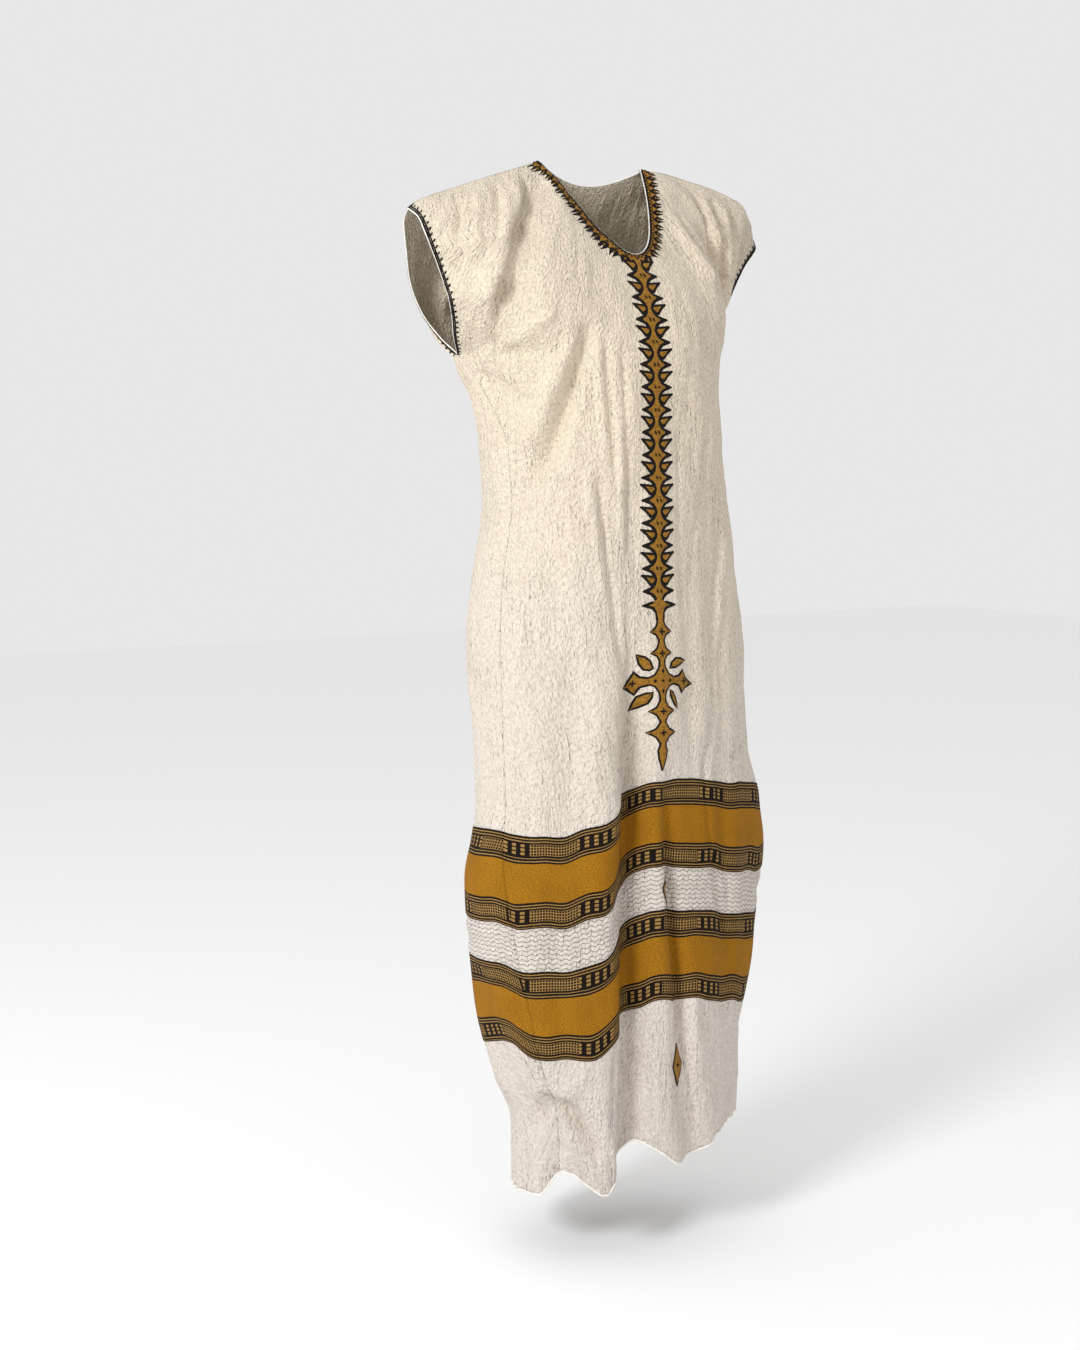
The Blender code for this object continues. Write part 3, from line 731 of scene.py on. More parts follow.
def edge_path(panel, rows, columns, count):
    """A smooth run of places and normals along one edge of a panel, evenly spaced."""
    points, outs = panel["points"][rows, columns], panel["out"][rows, columns]
    run = np.concatenate([[0.0], np.cumsum(np.linalg.norm(np.diff(points, axis=0), axis=1))])
    places = np.linspace(0.0, run[-1], count)
    smooth = np.stack([np.interp(places, run, points[:, axis]) for axis in range(3)], -1)
    for _ in range(3):
        smooth[1:-1] = 0.25 * smooth[:-2] + 0.5 * smooth[1:-1] + 0.25 * smooth[2:]
    turned = unit(np.stack([np.interp(places, run, outs[:, axis]) for axis in range(3)], -1))
    return places, smooth, turned


def edge_places(panel, path, inward):
    """Gives a function from run along an edge and distance in from it to a place on the panel."""
    run, points, outs = path
    ways = unit(np.gradient(points, axis=0))
    inwards = unit(np.cross(ways, outs)) * inward

    def place(along, depth):
        point = np.array([np.interp(along, run, points[:, axis]) for axis in range(3)])
        step = np.array([np.interp(along, run, inwards[:, axis]) for axis in range(3)])
        where, out, face, distance = panel["tree"].find_nearest(Vector(point + unit(step) * depth))
        return np.array(where), np.array(out)

    return place


def linear(code):
    """Linear colour of an sRGB hex code."""
    parts = [int(code[spot:spot + 2], 16) / 255 for spot in (1, 3, 5)]
    return (*(part / 12.92 if part <= 0.04045 else ((part + 0.055) / 1.055) ** 2.4 for part in parts), 1.0)


def node(tree, kind, inputs=None, **settings):
    """Adds a node with its settings, and gives or links its inputs."""
    made = tree.nodes.new(kind)
    for name, value in settings.items():
        setattr(made, name, value)
    for name, value in (inputs or {}).items():
        if isinstance(value, bpy.types.NodeSocket):
            tree.links.new(value, made.inputs[name])
        else:
            made.inputs[name].default_value = value
    return made


def new_finish(name, colour, roughness):
    """A material with its shader, to which a finish adds its pattern."""
    material = bpy.data.materials.new(name)
    material.use_nodes = True
    shader = material.node_tree.nodes["Principled BSDF"]
    shader.inputs["Base Color"].default_value = linear(colour)
    shader.inputs["Roughness"].default_value = roughness
    return material, material.node_tree, shader


def between(tree, value, low, high):
    """Nodes that give 1 where a value lies between two others."""
    over = node(tree, "ShaderNodeMath", {0: value, 1: low}, operation="GREATER_THAN")
    under = node(tree, "ShaderNodeMath", {0: value, 1: high}, operation="LESS_THAN")
    both = node(tree, "ShaderNodeMath", {0: over.outputs[0], 1: under.outputs[0]}, operation="MULTIPLY")
    return both.outputs[0]


def gauze_finish():
    """Handwoven cotton gauze, washed and dried twisted: matt warm white, pebbly from its crimped threads,
    with sharp lengthwise creases here and there, and grey weft lines in the band between the borders.
    Shade is painted into the colour: darker in the hollows of the grain and in the creases."""
    material, tree, shader = new_finish("crinkled_cotton_gauze", "#E4DDD2", 0.95)
    shader.inputs["Sheen Weight"].default_value = 0.12
    shader.inputs["Sheen Roughness"].default_value = 0.6
    shader.inputs["Specular IOR Level"].default_value = 0.15
    weave = node(tree, "ShaderNodeUVMap", uv_map="weave").outputs[0]
    split = node(tree, "ShaderNodeSeparateXYZ", {0: weave})
    across, along = split.outputs[0], split.outputs[1]
    # crimped grain about 3.5 mm wide and 5.5 mm long, coarser than the real 1 to 2 mm, so that it shows
    crimped = node(tree, "ShaderNodeMapping", {"Vector": weave, "Scale": (290.0, 180.0, 1.0)}).outputs[0]
    grain = node(tree, "ShaderNodeTexNoise", {"Vector": crimped, "Scale": 1.0, "Detail": 2.0,
                                              "Distortion": 0.3}).outputs[0]
    # creases about 2 mm wide and 60 to 150 mm long, where a slow noise passes its middle
    drawn = node(tree, "ShaderNodeMapping", {"Vector": weave, "Scale": (75.0, 9.0, 1.0)}).outputs[0]
    slow = node(tree, "ShaderNodeTexNoise", {"Vector": drawn, "Scale": 1.0, "Detail": 1.5,
                                             "Distortion": 0.2}).outputs[0]
    apart = node(tree, "ShaderNodeMath", {0: slow, 1: 0.5}, operation="SUBTRACT").outputs[0]
    apart = node(tree, "ShaderNodeMath", {0: apart}, operation="ABSOLUTE").outputs[0]
    crease = node(tree, "ShaderNodeMapRange", {"Value": apart, "From Max": 0.050, "To Min": 1.0,
                                               "To Max": 0.0}, interpolation_type="SMOOTHSTEP").outputs[0]
    patches = node(tree, "ShaderNodeTexNoise", {"Vector": weave, "Scale": 11.0, "Detail": 1.0}).outputs[0]
    patches = node(tree, "ShaderNodeMapRange", {"Value": patches, "From Min": 0.42,
                                                "From Max": 0.60}).outputs[0]
    crease = node(tree, "ShaderNodeMath", {0: crease, 1: patches}, operation="MULTIPLY").outputs[0]
    # grey weft lines in waves between the borders
    swing = node(tree, "ShaderNodeMath", {0: across, 1: 2 * math.pi / LINE_WAVE},
                 operation="MULTIPLY").outputs[0]
    swing = node(tree, "ShaderNodeMath", {0: swing}, operation="SINE").outputs[0]
    waved = node(tree, "ShaderNodeMath", {0: swing, 1: LINE_SWING, 2: along},
                 operation="MULTIPLY_ADD").outputs[0]
    turns = node(tree, "ShaderNodeMath", {0: waved, 1: 1 / LINE_PITCH}, operation="MULTIPLY").outputs[0]
    phase = node(tree, "ShaderNodeMath", {0: turns}, operation="FRACT").outputs[0]
    line = between(tree, phase, 0.38, 0.60)
    strip = between(tree, along, LOWER_HEAD, UPPER_FOOT)
    line = node(tree, "ShaderNodeMath", {0: line, 1: strip}, operation="MULTIPLY").outputs[0]
    # painted shade: the grain's hollows are coloured darker and its tops lighter, for the light and shade on
    # the pebbles
    shade = node(tree, "ShaderNodeMapRange", {"Value": grain, "From Min": 0.30, "From Max": 0.56}).outputs[0]
    cloth = node(tree, "ShaderNodeMix", {"Factor": shade, 6: linear("#DAD3C8"), 7: linear("#EAE4DA")},
                 data_type="RGBA").outputs[2]
    # painted shade: the creases are tinted darker towards #C4B69F, for the shade that falls in them
    part = node(tree, "ShaderNodeMath", {0: crease, 1: 0.15}, operation="MULTIPLY").outputs[0]
    cloth = node(tree, "ShaderNodeMix", {"Factor": part, 6: cloth, 7: linear("#C4B69F")},
                 data_type="RGBA").outputs[2]
    cool = node(tree, "ShaderNodeMapRange", {"Value": along, "From Min": -0.95, "From Max": -0.35}).outputs[0]
    tone = node(tree, "ShaderNodeMix", {"Factor": cool, 6: linear("#EFE9E8"), 7: linear("#F3EADC")},
                data_type="RGBA").outputs[2]
    cloth = node(tree, "ShaderNodeMix", {"Factor": 1.0, 6: cloth, 7: tone},
                 data_type="RGBA", blend_type="MULTIPLY").outputs[2]
    part = node(tree, "ShaderNodeMath", {0: line, 1: 0.85}, operation="MULTIPLY").outputs[0]
    cloth = node(tree, "ShaderNodeMix", {"Factor": part, 6: cloth, 7: linear("#837D76")},
                 data_type="RGBA").outputs[2]
    tree.links.new(cloth, shader.inputs["Base Color"])
    pressed_in = node(tree, "ShaderNodeMath", {0: 1.0, 1: crease}, operation="SUBTRACT").outputs[0]
    creased = node(tree, "ShaderNodeBump", {"Height": pressed_in, "Distance": 0.0012,
                                            "Strength": 0.7}).outputs[0]
    pebbled = node(tree, "ShaderNodeBump", {"Height": grain, "Distance": 0.0055, "Strength": 1.0,
                                            "Normal": creased}).outputs[0]
    tree.links.new(pebbled, shader.inputs["Normal"])
    return material


# Threads across a border, head to foot, in mm down from the head
BANDS = ((0.0, "black"), (2.4, "gold"), (3.7, "black"), (6.1, "gold"), (7.4, "black"), (9.7, "figures"),
         (24.5, "black"), (27.0, "gold"), (28.3, "black"), (30.7, "gold"), (32.0, "black"), (34.4, "ochre"),
         (83.6, "black"), (86.1, "gold"), (87.4, "black"), (89.9, "gold"), (91.2, "black"),
         (93.5, "figures"), (108.3, "black"), (110.7, "gold"), (112.0, "black"), (114.3, "gold"),
         (115.4, "black"))
DYES = {"black": "#160E08", "gold": "#987642", "ochre": "#986610", "figures": "#160E08"}

# Figures: distance of a repeat, its dotted part, and the level where their rows start, down from the head
REPEAT = 0.112
DOTTED = 0.062
FIGURES_FOOT = 0.0245

# Dots, then blocks: shrink across, gap, width and height in the brick pattern's own units of 10 mm
FIGURES = ((100.0, 0.052, 0.36, 0.3643), (25.0, 0.080, 0.30, 0.4929))


def border_finish(name, head):
    """Tibeb border woven into the cotton: pale gold and near-black lines and small figures above and
    below an ochre field, with slubbed cotton threads that leave it matt and speckled."""
    material, tree, shader = new_finish(name, DYES["ochre"], 0.85)
    shader.inputs["Specular IOR Level"].default_value = 0.15
    weave = node(tree, "ShaderNodeUVMap", uv_map="weave").outputs[0]
    split = node(tree, "ShaderNodeSeparateXYZ", {0: weave})
    across, along = split.outputs[0], split.outputs[1]
    down = node(tree, "ShaderNodeMath", {0: head, 1: along}, operation="SUBTRACT").outputs[0]
    down = node(tree, "ShaderNodeMath", {0: down, 1: 1 / BORDER_HEIGHT}, operation="MULTIPLY").outputs[0]

    ramp = node(tree, "ShaderNodeValToRGB", {"Fac": down})
    zones = node(tree, "ShaderNodeValToRGB", {"Fac": down})
    for made, shades in ((ramp, DYES), (zones, {"figures": "#FFFFFF"})):
        made.color_ramp.interpolation = "CONSTANT"
        stops = made.color_ramp.elements
        for place, (start, kind) in enumerate(BANDS):
            where = start * MM / BORDER_HEIGHT
            stop = stops[place] if place < 2 else stops.new(where)
            stop.position = where
            stop.color = linear(shades.get(kind, "#000000"))

    # Figures: fields of gold with rows of black dots, then fields of gold blocks on black
    repeat = node(tree, "ShaderNodeMath", {0: across, 1: REPEAT}, operation="FLOORED_MODULO").outputs[0]
    blocks_here = node(tree, "ShaderNodeMath", {0: repeat, 1: DOTTED}, operation="GREATER_THAN").outputs[0]
    figures = []
    for scale, size, width, tall in FIGURES:
        start = (FIGURES_FOOT - head) * 100 % tall
        turned = node(tree, "ShaderNodeMapping", {"Vector": weave, "Location": (0.0, start, 0.0),
                                                  "Scale": (scale, 100.0, 1.0)}).outputs[0]
        figures.append(node(tree, "ShaderNodeTexBrick", {
            "Vector": turned, "Scale": 1.0, "Mortar Size": size, "Mortar Smooth": 0.0, "Brick Width": width,
            "Row Height": tall, "Bias": -1.0}, offset=0.0).outputs["Fac"])
    blocks = node(tree, "ShaderNodeMath", {0: 1.0, 1: figures[1]}, operation="SUBTRACT").outputs[0]
    gold = node(tree, "ShaderNodeMix", {"Factor": blocks_here, 2: figures[0], 3: blocks}).outputs[0]
    gold = node(tree, "ShaderNodeMath", {0: gold, 1: zones.outputs[0]}, operation="MULTIPLY").outputs[0]
    cloth = node(tree, "ShaderNodeMix", {"Factor": gold, 6: ramp.outputs[0], 7: linear(DYES["gold"])},
                 data_type="RGBA").outputs[2]

    # Slubs and speckle of the handspun weft, 2.5 mm by 0.9 mm, and a soft unevenness of the dye
    threads = node(tree, "ShaderNodeMapping", {"Vector": weave, "Scale": (400.0, 1100.0, 1.0)}).outputs[0]
    speckle = node(tree, "ShaderNodeTexNoise", {"Vector": threads, "Scale": 1.0, "Detail": 2.0}).outputs[0]
    speckle_shade = node(tree, "ShaderNodeMapRange", {"Value": speckle, "From Min": 0.35, "From Max": 0.65,
                                                      "To Min": 0.62, "To Max": 1.28}).outputs[0]
    dyed = node(tree, "ShaderNodeTexNoise", {"Vector": weave, "Scale": 30.0, "Detail": 2.0}).outputs[0]
    dye_shade = node(tree, "ShaderNodeMapRange", {"Value": dyed, "From Min": 0.3, "From Max": 0.7,
                                                  "To Min": 0.92, "To Max": 1.06}).outputs[0]
    shade = node(tree, "ShaderNodeMath", {0: speckle_shade, 1: dye_shade}, operation="MULTIPLY").outputs[0]
    cloth = node(tree, "ShaderNodeVectorMath", {0: cloth, 3: shade}, operation="SCALE").outputs[0]
    tree.links.new(cloth, shader.inputs["Base Color"])
    ribs = node(tree, "ShaderNodeTexWave", {"Vector": weave, "Scale": 110.0, "Distortion": 0.6},
                bands_direction="Y").outputs[0]
    ribbed = node(tree, "ShaderNodeBump", {"Height": ribs, "Distance": 0.0003, "Strength": 0.5}).outputs[0]
    rough = node(tree, "ShaderNodeBump", {"Height": speckle, "Distance": 0.0006, "Strength": 0.6,
                                          "Normal": ribbed}).outputs[0]
    tree.links.new(rough, shader.inputs["Normal"])
    return material


def thread_finish(name, dark, light, roughness, sheen):
    """Mercerised embroidery cotton laid in close stitches: a soft lustre along the threads, which are
    drawn 1 mm wide, coarser than the real 0.5 mm, so that they show."""
    material, tree, shader = new_finish(name, light, roughness)
    shader.inputs["Sheen Weight"].default_value = sheen
    shader.inputs["Specular IOR Level"].default_value = 0.2
    place = node(tree, "ShaderNodeTexCoord").outputs["Object"]
    laid = node(tree, "ShaderNodeMapping", {"Vector": place, "Scale": (260.0, 260.0, 1000.0)}).outputs[0]
    threads = node(tree, "ShaderNodeTexNoise", {"Vector": laid, "Scale": 1.0, "Detail": 2.0}).outputs[0]
    part = node(tree, "ShaderNodeMapRange", {"Value": threads, "From Min": 0.32, "From Max": 0.66}).outputs[0]
    colour = node(tree, "ShaderNodeMix", {"Factor": part, 6: linear(dark), 7: linear(light)},
                  data_type="RGBA").outputs[2]
    tree.links.new(colour, shader.inputs["Base Color"])
    raised = node(tree, "ShaderNodeBump", {"Height": threads, "Distance": 0.0006, "Strength": 0.7}).outputs[0]
    tree.links.new(raised, shader.inputs["Normal"])
    return material


def stitch_tree():
    """Stitches laid at the points of a path: a grain of thread at each, turned to its way and normal."""
    tree = bpy.data.node_groups.new("laid_stitches", "GeometryNodeTree")
    sockets = {}
    for name, kind, value in (("Path", "NodeSocketGeometry", None), ("Length", "NodeSocketFloat", 0.003),
                              ("Width", "NodeSocketFloat", 0.0014), ("Height", "NodeSocketFloat", 0.0012),
                              ("Thread", "NodeSocketMaterial", None)):
        socket = tree.interface.new_socket(name=name, in_out="INPUT", socket_type=kind)
        if value is not None:
            socket.default_value = value
        sockets[name] = socket.identifier
    tree.interface.new_socket(name="Stitches", in_out="OUTPUT", socket_type="NodeSocketGeometry")
    given = node(tree, "NodeGroupInput")
    points = node(tree, "GeometryNodeMeshToPoints", {"Mesh": given.outputs["Path"]}).outputs[0]
    way = node(tree, "GeometryNodeInputNamedAttribute", {"Name": "way"}, data_type="FLOAT_VECTOR").outputs[0]
    out = node(tree, "GeometryNodeInputNamedAttribute", {"Name": "out"}, data_type="FLOAT_VECTOR").outputs[0]
    turn = node(tree, "FunctionNodeAxesToRotation", {0: way, 1: out}, primary_axis="X",
                secondary_axis="Z").outputs[0]
    grain = node(tree, "GeometryNodeMeshUVSphere", {"Segments": 6, "Rings": 4, "Radius": 0.5}).outputs[0]
    smooth = node(tree, "GeometryNodeSetShadeSmooth", {0: grain}).outputs[0]
    uneven = node(tree, "FunctionNodeRandomValue", {2: 0.85, 3: 1.15, "Seed": 5}).outputs[1]
    size = node(tree, "ShaderNodeCombineXYZ", {0: given.outputs["Length"], 1: given.outputs["Width"],
                                               2: given.outputs["Height"]}).outputs[0]
    size = node(tree, "ShaderNodeVectorMath", {0: size, 3: uneven}, operation="SCALE").outputs[0]
    laid = node(tree, "GeometryNodeInstanceOnPoints", {"Points": points, "Instance": smooth, "Rotation": turn,
                                                       "Scale": size}).outputs[0]
    real = node(tree, "GeometryNodeRealizeInstances", {0: laid}).outputs[0]
    finished_stitches = node(tree, "GeometryNodeSetMaterial", {0: real, "Material": given.outputs["Thread"]})
    node(tree, "NodeGroupOutput", {0: finished_stitches.outputs[0]})
    return tree, sockets


def stitches(name, tree, sockets, spots, length, width, height, finish):
    """A mesh of laid stitches from their places, ways and normals."""
    places, ways, outs = (np.array(part) for part in zip(*spots))
    mesh = bpy.data.meshes.new(name + "_path")
    mesh.from_pydata(places.tolist(), [], [])
    for title, values in (("way", ways), ("out", outs)):
        layer = mesh.attributes.new(title, "FLOAT_VECTOR", "POINT")
        layer.data.foreach_set("vector", values.ravel())
    path = bpy.data.objects.new(name + "_path", mesh)
    bpy.context.scene.collection.objects.link(path)
    modifier = path.modifiers.new("stitches", "NODES")
    modifier.node_group = tree
    for title, value in (("Length", length), ("Width", width), ("Height", height), ("Thread", finish)):
        modifier[sockets[title]] = value
    evaluated = path.evaluated_get(bpy.context.evaluated_depsgraph_get())
    laid = bpy.data.meshes.new_from_object(evaluated)
    laid.name = name
    bpy.data.objects.remove(path, do_unlink=True)
    piece = bpy.data.objects.new(name, laid)
    bpy.context.scene.collection.objects.link(piece)
    return piece


def line_stitches(place, start, end, pitch, lift):
    """Stitches end to end along a straight line of a plan."""
    start, end = np.array(start, dtype=float), np.array(end, dtype=float)
    count = max(1, round(np.linalg.norm(end - start) / pitch))
    spots = []
    for step in range(count):
        a, b = (start + (end - start) * (step + part) / count for part in (0.0, 1.0))
        first, out = place(*a)
        second, _ = place(*b)
        spots.append(((first + second) / 2 + out * lift, unit(second - first), out))
    return spots


def mirrored(outline):
    """An outline's right half with its mirror image, in order round it."""
    return list(outline) + [(-x, z) for x, z in reversed(outline)]


def moved(outline, x, z, flip=1.0):
    return [(x + flip * px, z + pz) for px, pz in outline]


BLACK, OCHRE = 0, 1


def in_mm(outline):
    return [(x * MM, z * MM) for x, z in outline]


# Plans of the strip's pads, in mm from the middle of a diamond
DIAMOND_BASE = in_mm([(6.4, 16.0), (8.8, 9.8), (13.0, 5.6), (25.0, 1.2), (25.0, -1.0), (13.0, -5.6),
                      (8.8, -9.8), (6.4, -16.0)])
DIAMOND = in_mm([(1.7, 16.0), (4.1, 9.0), (7.6, 4.2), (14.0, 0.7), (14.0, -0.7), (7.6, -4.2), (4.1, -9.0),
                 (1.7, -16.0)])
LEAF_BASE = in_mm([(3.5, 1.0), (5.5, 5.6), (13.0, 6.4), (26.0, 7.6), (26.6, 5.4), (18.5, -1.8), (13.5, -8.4),
                   (8.0, -8.4), (4.2, -3.5)])
LEAF = in_mm([(5.8, 0.2), (7.6, 2.5), (13.0, 2.9), (19.0, 3.8), (14.8, -1.2), (11.4, -4.6), (7.9, -2.9)])
STRIP_HEAD_BASE = in_mm([(6.4, 0.0), (9.0, 9.0), (13.0, 15.0)])
STRIP_HEAD = in_mm([(3.0, -1.0), (5.4, 8.0), (9.6, 14.5)])
STRIP_FOOT_BASE = in_mm([(13.0, 2.0), (26.5, -2.5), (26.5, -4.7), (13.0, -8.4), (8.0, -13.0), (7.0, -24.0)])
STRIP_FOOT = in_mm([(5.0, 4.0), (9.6, -1.0), (16.5, -3.5), (9.0, -5.6), (5.0, -11.5), (3.6, -24.0)])


def strip_embroidery(front, tree, sockets, finishes):
    """The serrated strip: a column of ochre diamonds, leaf-shaped teeth at its sides, on black."""
    work = new_work()

    def place(x, z):
        return seat(front, x, z)

    marks = []
    for number in range(STRIP_DIAMONDS):
        level = STRIP_FIRST - STRIP_PITCH * number
        pad(work, place, moved(mirrored(DIAMOND_BASE), 0.0, level), 0.0, 0.0009, BLACK)
        pad(work, place, moved(mirrored(DIAMOND), 0.0, level), 0.0008, 0.0007, OCHRE)
        for side in (-1.0, 1.0):
            marks += line_stitches(place, (side * 0.0028 - 0.0012, level + 0.0022),
                                   (side * 0.0028 + 0.0012, level - 0.0022), 0.006, 0.0020)
            pad(work, place, moved(LEAF_BASE, 0.0, level + STRIP_PITCH / 2, side), 0.0, 0.0008, BLACK)
            pad(work, place, moved(LEAF, 0.0, level + STRIP_PITCH / 2, side), 0.0007, 0.0007, OCHRE)
    head, foot = STRIP_FIRST + STRIP_PITCH / 2, STRIP_FIRST - STRIP_PITCH * (STRIP_DIAMONDS - 0.5)
    for outline, level, finish in ((STRIP_HEAD_BASE, head, BLACK), (STRIP_HEAD, head, OCHRE),
                                   (STRIP_FOOT_BASE, foot, BLACK), (STRIP_FOOT, foot, OCHRE)):
        lift = 0.0 if finish == BLACK else 0.0008
        pad(work, place, moved(mirrored(outline), 0.0, level), lift, 0.0008, finish)
    strip = finished("strip_embroidery", work, finishes)
    dashes = stitches("strip_marks", tree, sockets, marks, 0.0062, 0.0025, 0.0012, finishes[BLACK])
    return strip, dashes


# Levels where the hanging diamonds meet, and plans of the cross in mm from its middle
HANGING_JOINTS = (-0.6057, -0.6346, -0.6606, -0.7104, -0.7384, -0.7672)
CENTRE = in_mm([(4.6, 23.4), (7.0, 15.0), (12.0, 7.5), (20.0, 3.6), (20.0, -7.0), (12.0, -10.0), (7.0, -17.0),
                (4.6, -26.4)])
ARM = in_mm([(15.0, 3.6), (27.0, 5.0), (35.5, 12.5), (42.0, 1.0), (55.0, -10.5), (42.0, -15.0), (32.5, -22.0),
             (26.0, -11.0), (15.0, -7.4)])
LEAVES = tuple(in_mm(outline) for outline in (
    [(10.8, 13.0), (14.0, 22.0), (22.0, 28.0), (32.0, 27.0), (42.0, 22.0), (33.0, 17.0), (21.0, 12.5)],
    [(-11.0, 14.0), (-15.0, 25.0), (-22.0, 31.0), (-34.4, 33.8), (-31.0, 20.0), (-25.0, 11.5), (-17.0, 10.5)],
    [(-11.8, -14.8), (-22.0, -16.0), (-31.4, -21.4), (-36.0, -31.0), (-39.0, -42.0), (-28.0, -38.0),
     (-17.7, -31.3), (-13.0, -23.0)],
    [(10.8, -12.4), (17.0, -16.0), (21.6, -24.7), (24.0, -32.0), (24.6, -40.4), (18.0, -35.0), (13.8, -28.0),
     (10.5, -20.0)]))
DROP = in_mm([(4.4, 1.0), (8.0, -7.4), (7.0, -18.0), (1.6, -35.5)])


def drawn_in(outline, border):
    """An outline moved inwards by a width all round."""
    outline = densify(outline, 0.004)
    after, before = np.roll(outline, -1, axis=0), np.roll(outline, 1, axis=0)
    way = after - before
    inward = unit(np.stack([-way[:, 1], way[:, 0]], axis=-1))
    area = (outline[:, 0] * after[:, 1] - after[:, 0] * outline[:, 1]).sum()
    moved_in = outline + inward * border * (1.0 if area > 0 else -1.0)
    middle = outline.mean(axis=0)
    nearer = np.linalg.norm(moved_in - middle, axis=1) < np.linalg.norm(outline - middle, axis=1)
    return moved_in[nearer]


def two_tone(work, place, outline, border):
    """An ochre patch with a black outline of a given width round it."""
    pad(work, place, outline, 0.0, 0.0009, BLACK)
    pad(work, place, drawn_in(outline, border), 0.0008, 0.0007, OCHRE)


def motif_embroidery(front, tree, sockets, finishes):
    """Diamonds, cross and drop below the strip, and the two small lozenges of the skirt."""
    work = new_work()
    marks = []

    def place(x, z):
        return seat(front, x, z)

    def cross_mark(x, z, size):
        for across, up in ((size, 0.0), (0.0, size)):
            marks.extend(line_stitches(place, (x - across, z - up), (x + across, z + up), 0.0048, 0.0021))

    for row in HANGING_DIAMONDS:
        top, tips, foot, half_width = (row[HANGING_COLUMNS.index(name)] for name in HANGING_COLUMNS)
        shoulder = half_width * 0.52
        outline = [(0.0054, top), (shoulder, top * 0.45 + tips * 0.55), (half_width, tips + 0.0008),
                   (half_width, tips - 0.0008), (shoulder, foot * 0.45 + tips * 0.55), (0.0054, foot)]
        two_tone(work, place, mirrored(outline), 0.0027)
        cross_mark(0.0, tips, 0.0044)
    joints = ((0.0056, 0.0030, 0.0002, BLACK), (0.0027, 0.0058, 0.0010, OCHRE))
    for level in HANGING_JOINTS:
        for half_width, half_height, lift, finish in joints:
            outline = [(half_width, half_height), (half_width, -half_height)]
            pad(work, place, moved(mirrored(outline), 0.0, level), lift, 0.0008, finish)
    for flip in (-1.0, 1.0):
        two_tone(work, place, moved(ARM, 0.0, CROSS_LEVEL, flip), 0.0030)
        cross_mark(flip * 0.036, CROSS_LEVEL - 0.0046, 0.0048)
    for outline in LEAVES:
        two_tone(work, place, moved(outline, 0.0, CROSS_LEVEL), 0.0028)
    two_tone(work, place, moved(mirrored(CENTRE), 0.0, CROSS_LEVEL), 0.0027)
    for x, z in ((0.0, 0.0125), (-0.0105, 0.0), (0.0105, 0.0), (0.0, -0.0135), (0.0, 0.0)):
        cross_mark(x, CROSS_LEVEL - 0.0015 + z, 0.0030)
    two_tone(work, place, moved(mirrored(DROP), 0.0, -0.7672), 0.0026)
    for x, z, half_width, half_height in ((0.0085, -0.953, 0.010, 0.029), (0.0320, -1.190, 0.012, 0.029)):
        outline = [(0.0016, half_height), (half_width * 0.60, half_height * 0.42), (half_width, 0.0),
                   (half_width * 0.60, -half_height * 0.42), (0.0016, -half_height)]
        two_tone(work, place, moved(mirrored(outline), x, z), 0.0026)
        cross_mark(x, z, 0.0030)
    motifs = finished("motif_embroidery", work, finishes)
    crosses = stitches("motif_marks", tree, sockets, marks, 0.0054, 0.0022, 0.0012, finishes[BLACK])
    return motifs, crosses


# Length of one wedge of the neck band with its pair of teeth
NECK_UNIT = 0.0130


def neck_embroidery(panel, tree, sockets, finishes, name):
    """The band round the neckline: an ochre zone edged in black, then wedges between pairs of black teeth."""
    neck_end = HALF_COLUMNS - NECK_COLUMN
    columns = np.arange(HALF_COLUMNS - neck_end, HALF_COLUMNS + neck_end + 1)
    path = edge_path(panel, np.full(len(columns), len(panel["points"]) - 1), columns, 121)
    flat_place = edge_places(panel, path, panel["side"])
    length = path[0][-1]
    count = round(length / NECK_UNIT)
    width = length / count

    def place(along, depth):
        # the band is wider on the right side of the dress
        return flat_place(along, depth * (1 + 0.50 * within(along, 0.0, length * 0.42, length * 0.08)))

    work = new_work()
    marks = []
    zones = ((0.0004, 0.0128, 0.0, BLACK), (0.0034, 0.0080, 0.0008, OCHRE))
    for number in range(count):
        start, end = number * width, (number + 1) * width
        middle = (start + end) / 2
        for low, high, lift, finish in zones:
            pad(work, place, [(start - 0.0008, low), (end + 0.0008, low), (end + 0.0008, high),
                              (start - 0.0008, high)], lift, 0.0008, finish)
        pad(work, place, [(middle - width * 0.30, 0.0070), (middle + width * 0.30, 0.0070), (middle, 0.0124)],
            0.0008, 0.0007, OCHRE)
        marks += line_stitches(place, (middle - 0.0016, 0.0064), (middle + 0.0016, 0.0048), 0.006, 0.0018)
        for foot in (start + 0.30 * width, start - 0.30 * width):
            if 0.0 < foot < length:
                marks += line_stitches(place, (start, 0.0086), (foot, 0.0030), 0.0030, 0.0020)
        for side, inwards in ((start, width), (end, -width)):
            tooth, tip = side + 0.26 * inwards, side + 0.12 * inwards
            pad(work, place, [(tooth - 0.0032, 0.0105), (tooth + 0.0032, 0.0105), (tip, 0.0205)],
                0.0, 0.0009, BLACK)
        if number:
            pad(work, place, [(start - 0.0012, 0.0112), (start + 0.0012, 0.0112), (start, 0.0148)],
                0.0009, 0.0007, OCHRE)
    band = finished(name, work, finishes)
    spots = chain(place, 0.0, length, 0.0021, 0.0028, 0.0012) + marks
    laid = stitches(name + "_line", tree, sockets, spots, 0.0042, 0.0025, 0.0014, finishes[BLACK])
    return band, laid


def chain(place, start, end, depth, pitch, lift):
    """A line of stitches at an even distance from an edge."""
    spots = []
    count = max(1, round((end - start) / pitch))
    for step in range(count):
        first, out = place(start + (end - start) * step / count, depth)
        second, _ = place(start + (end - start) * (step + 1) / count, depth)
        spots.append(((first + second) / 2 + out * lift, unit(second - first), out))
    return spots


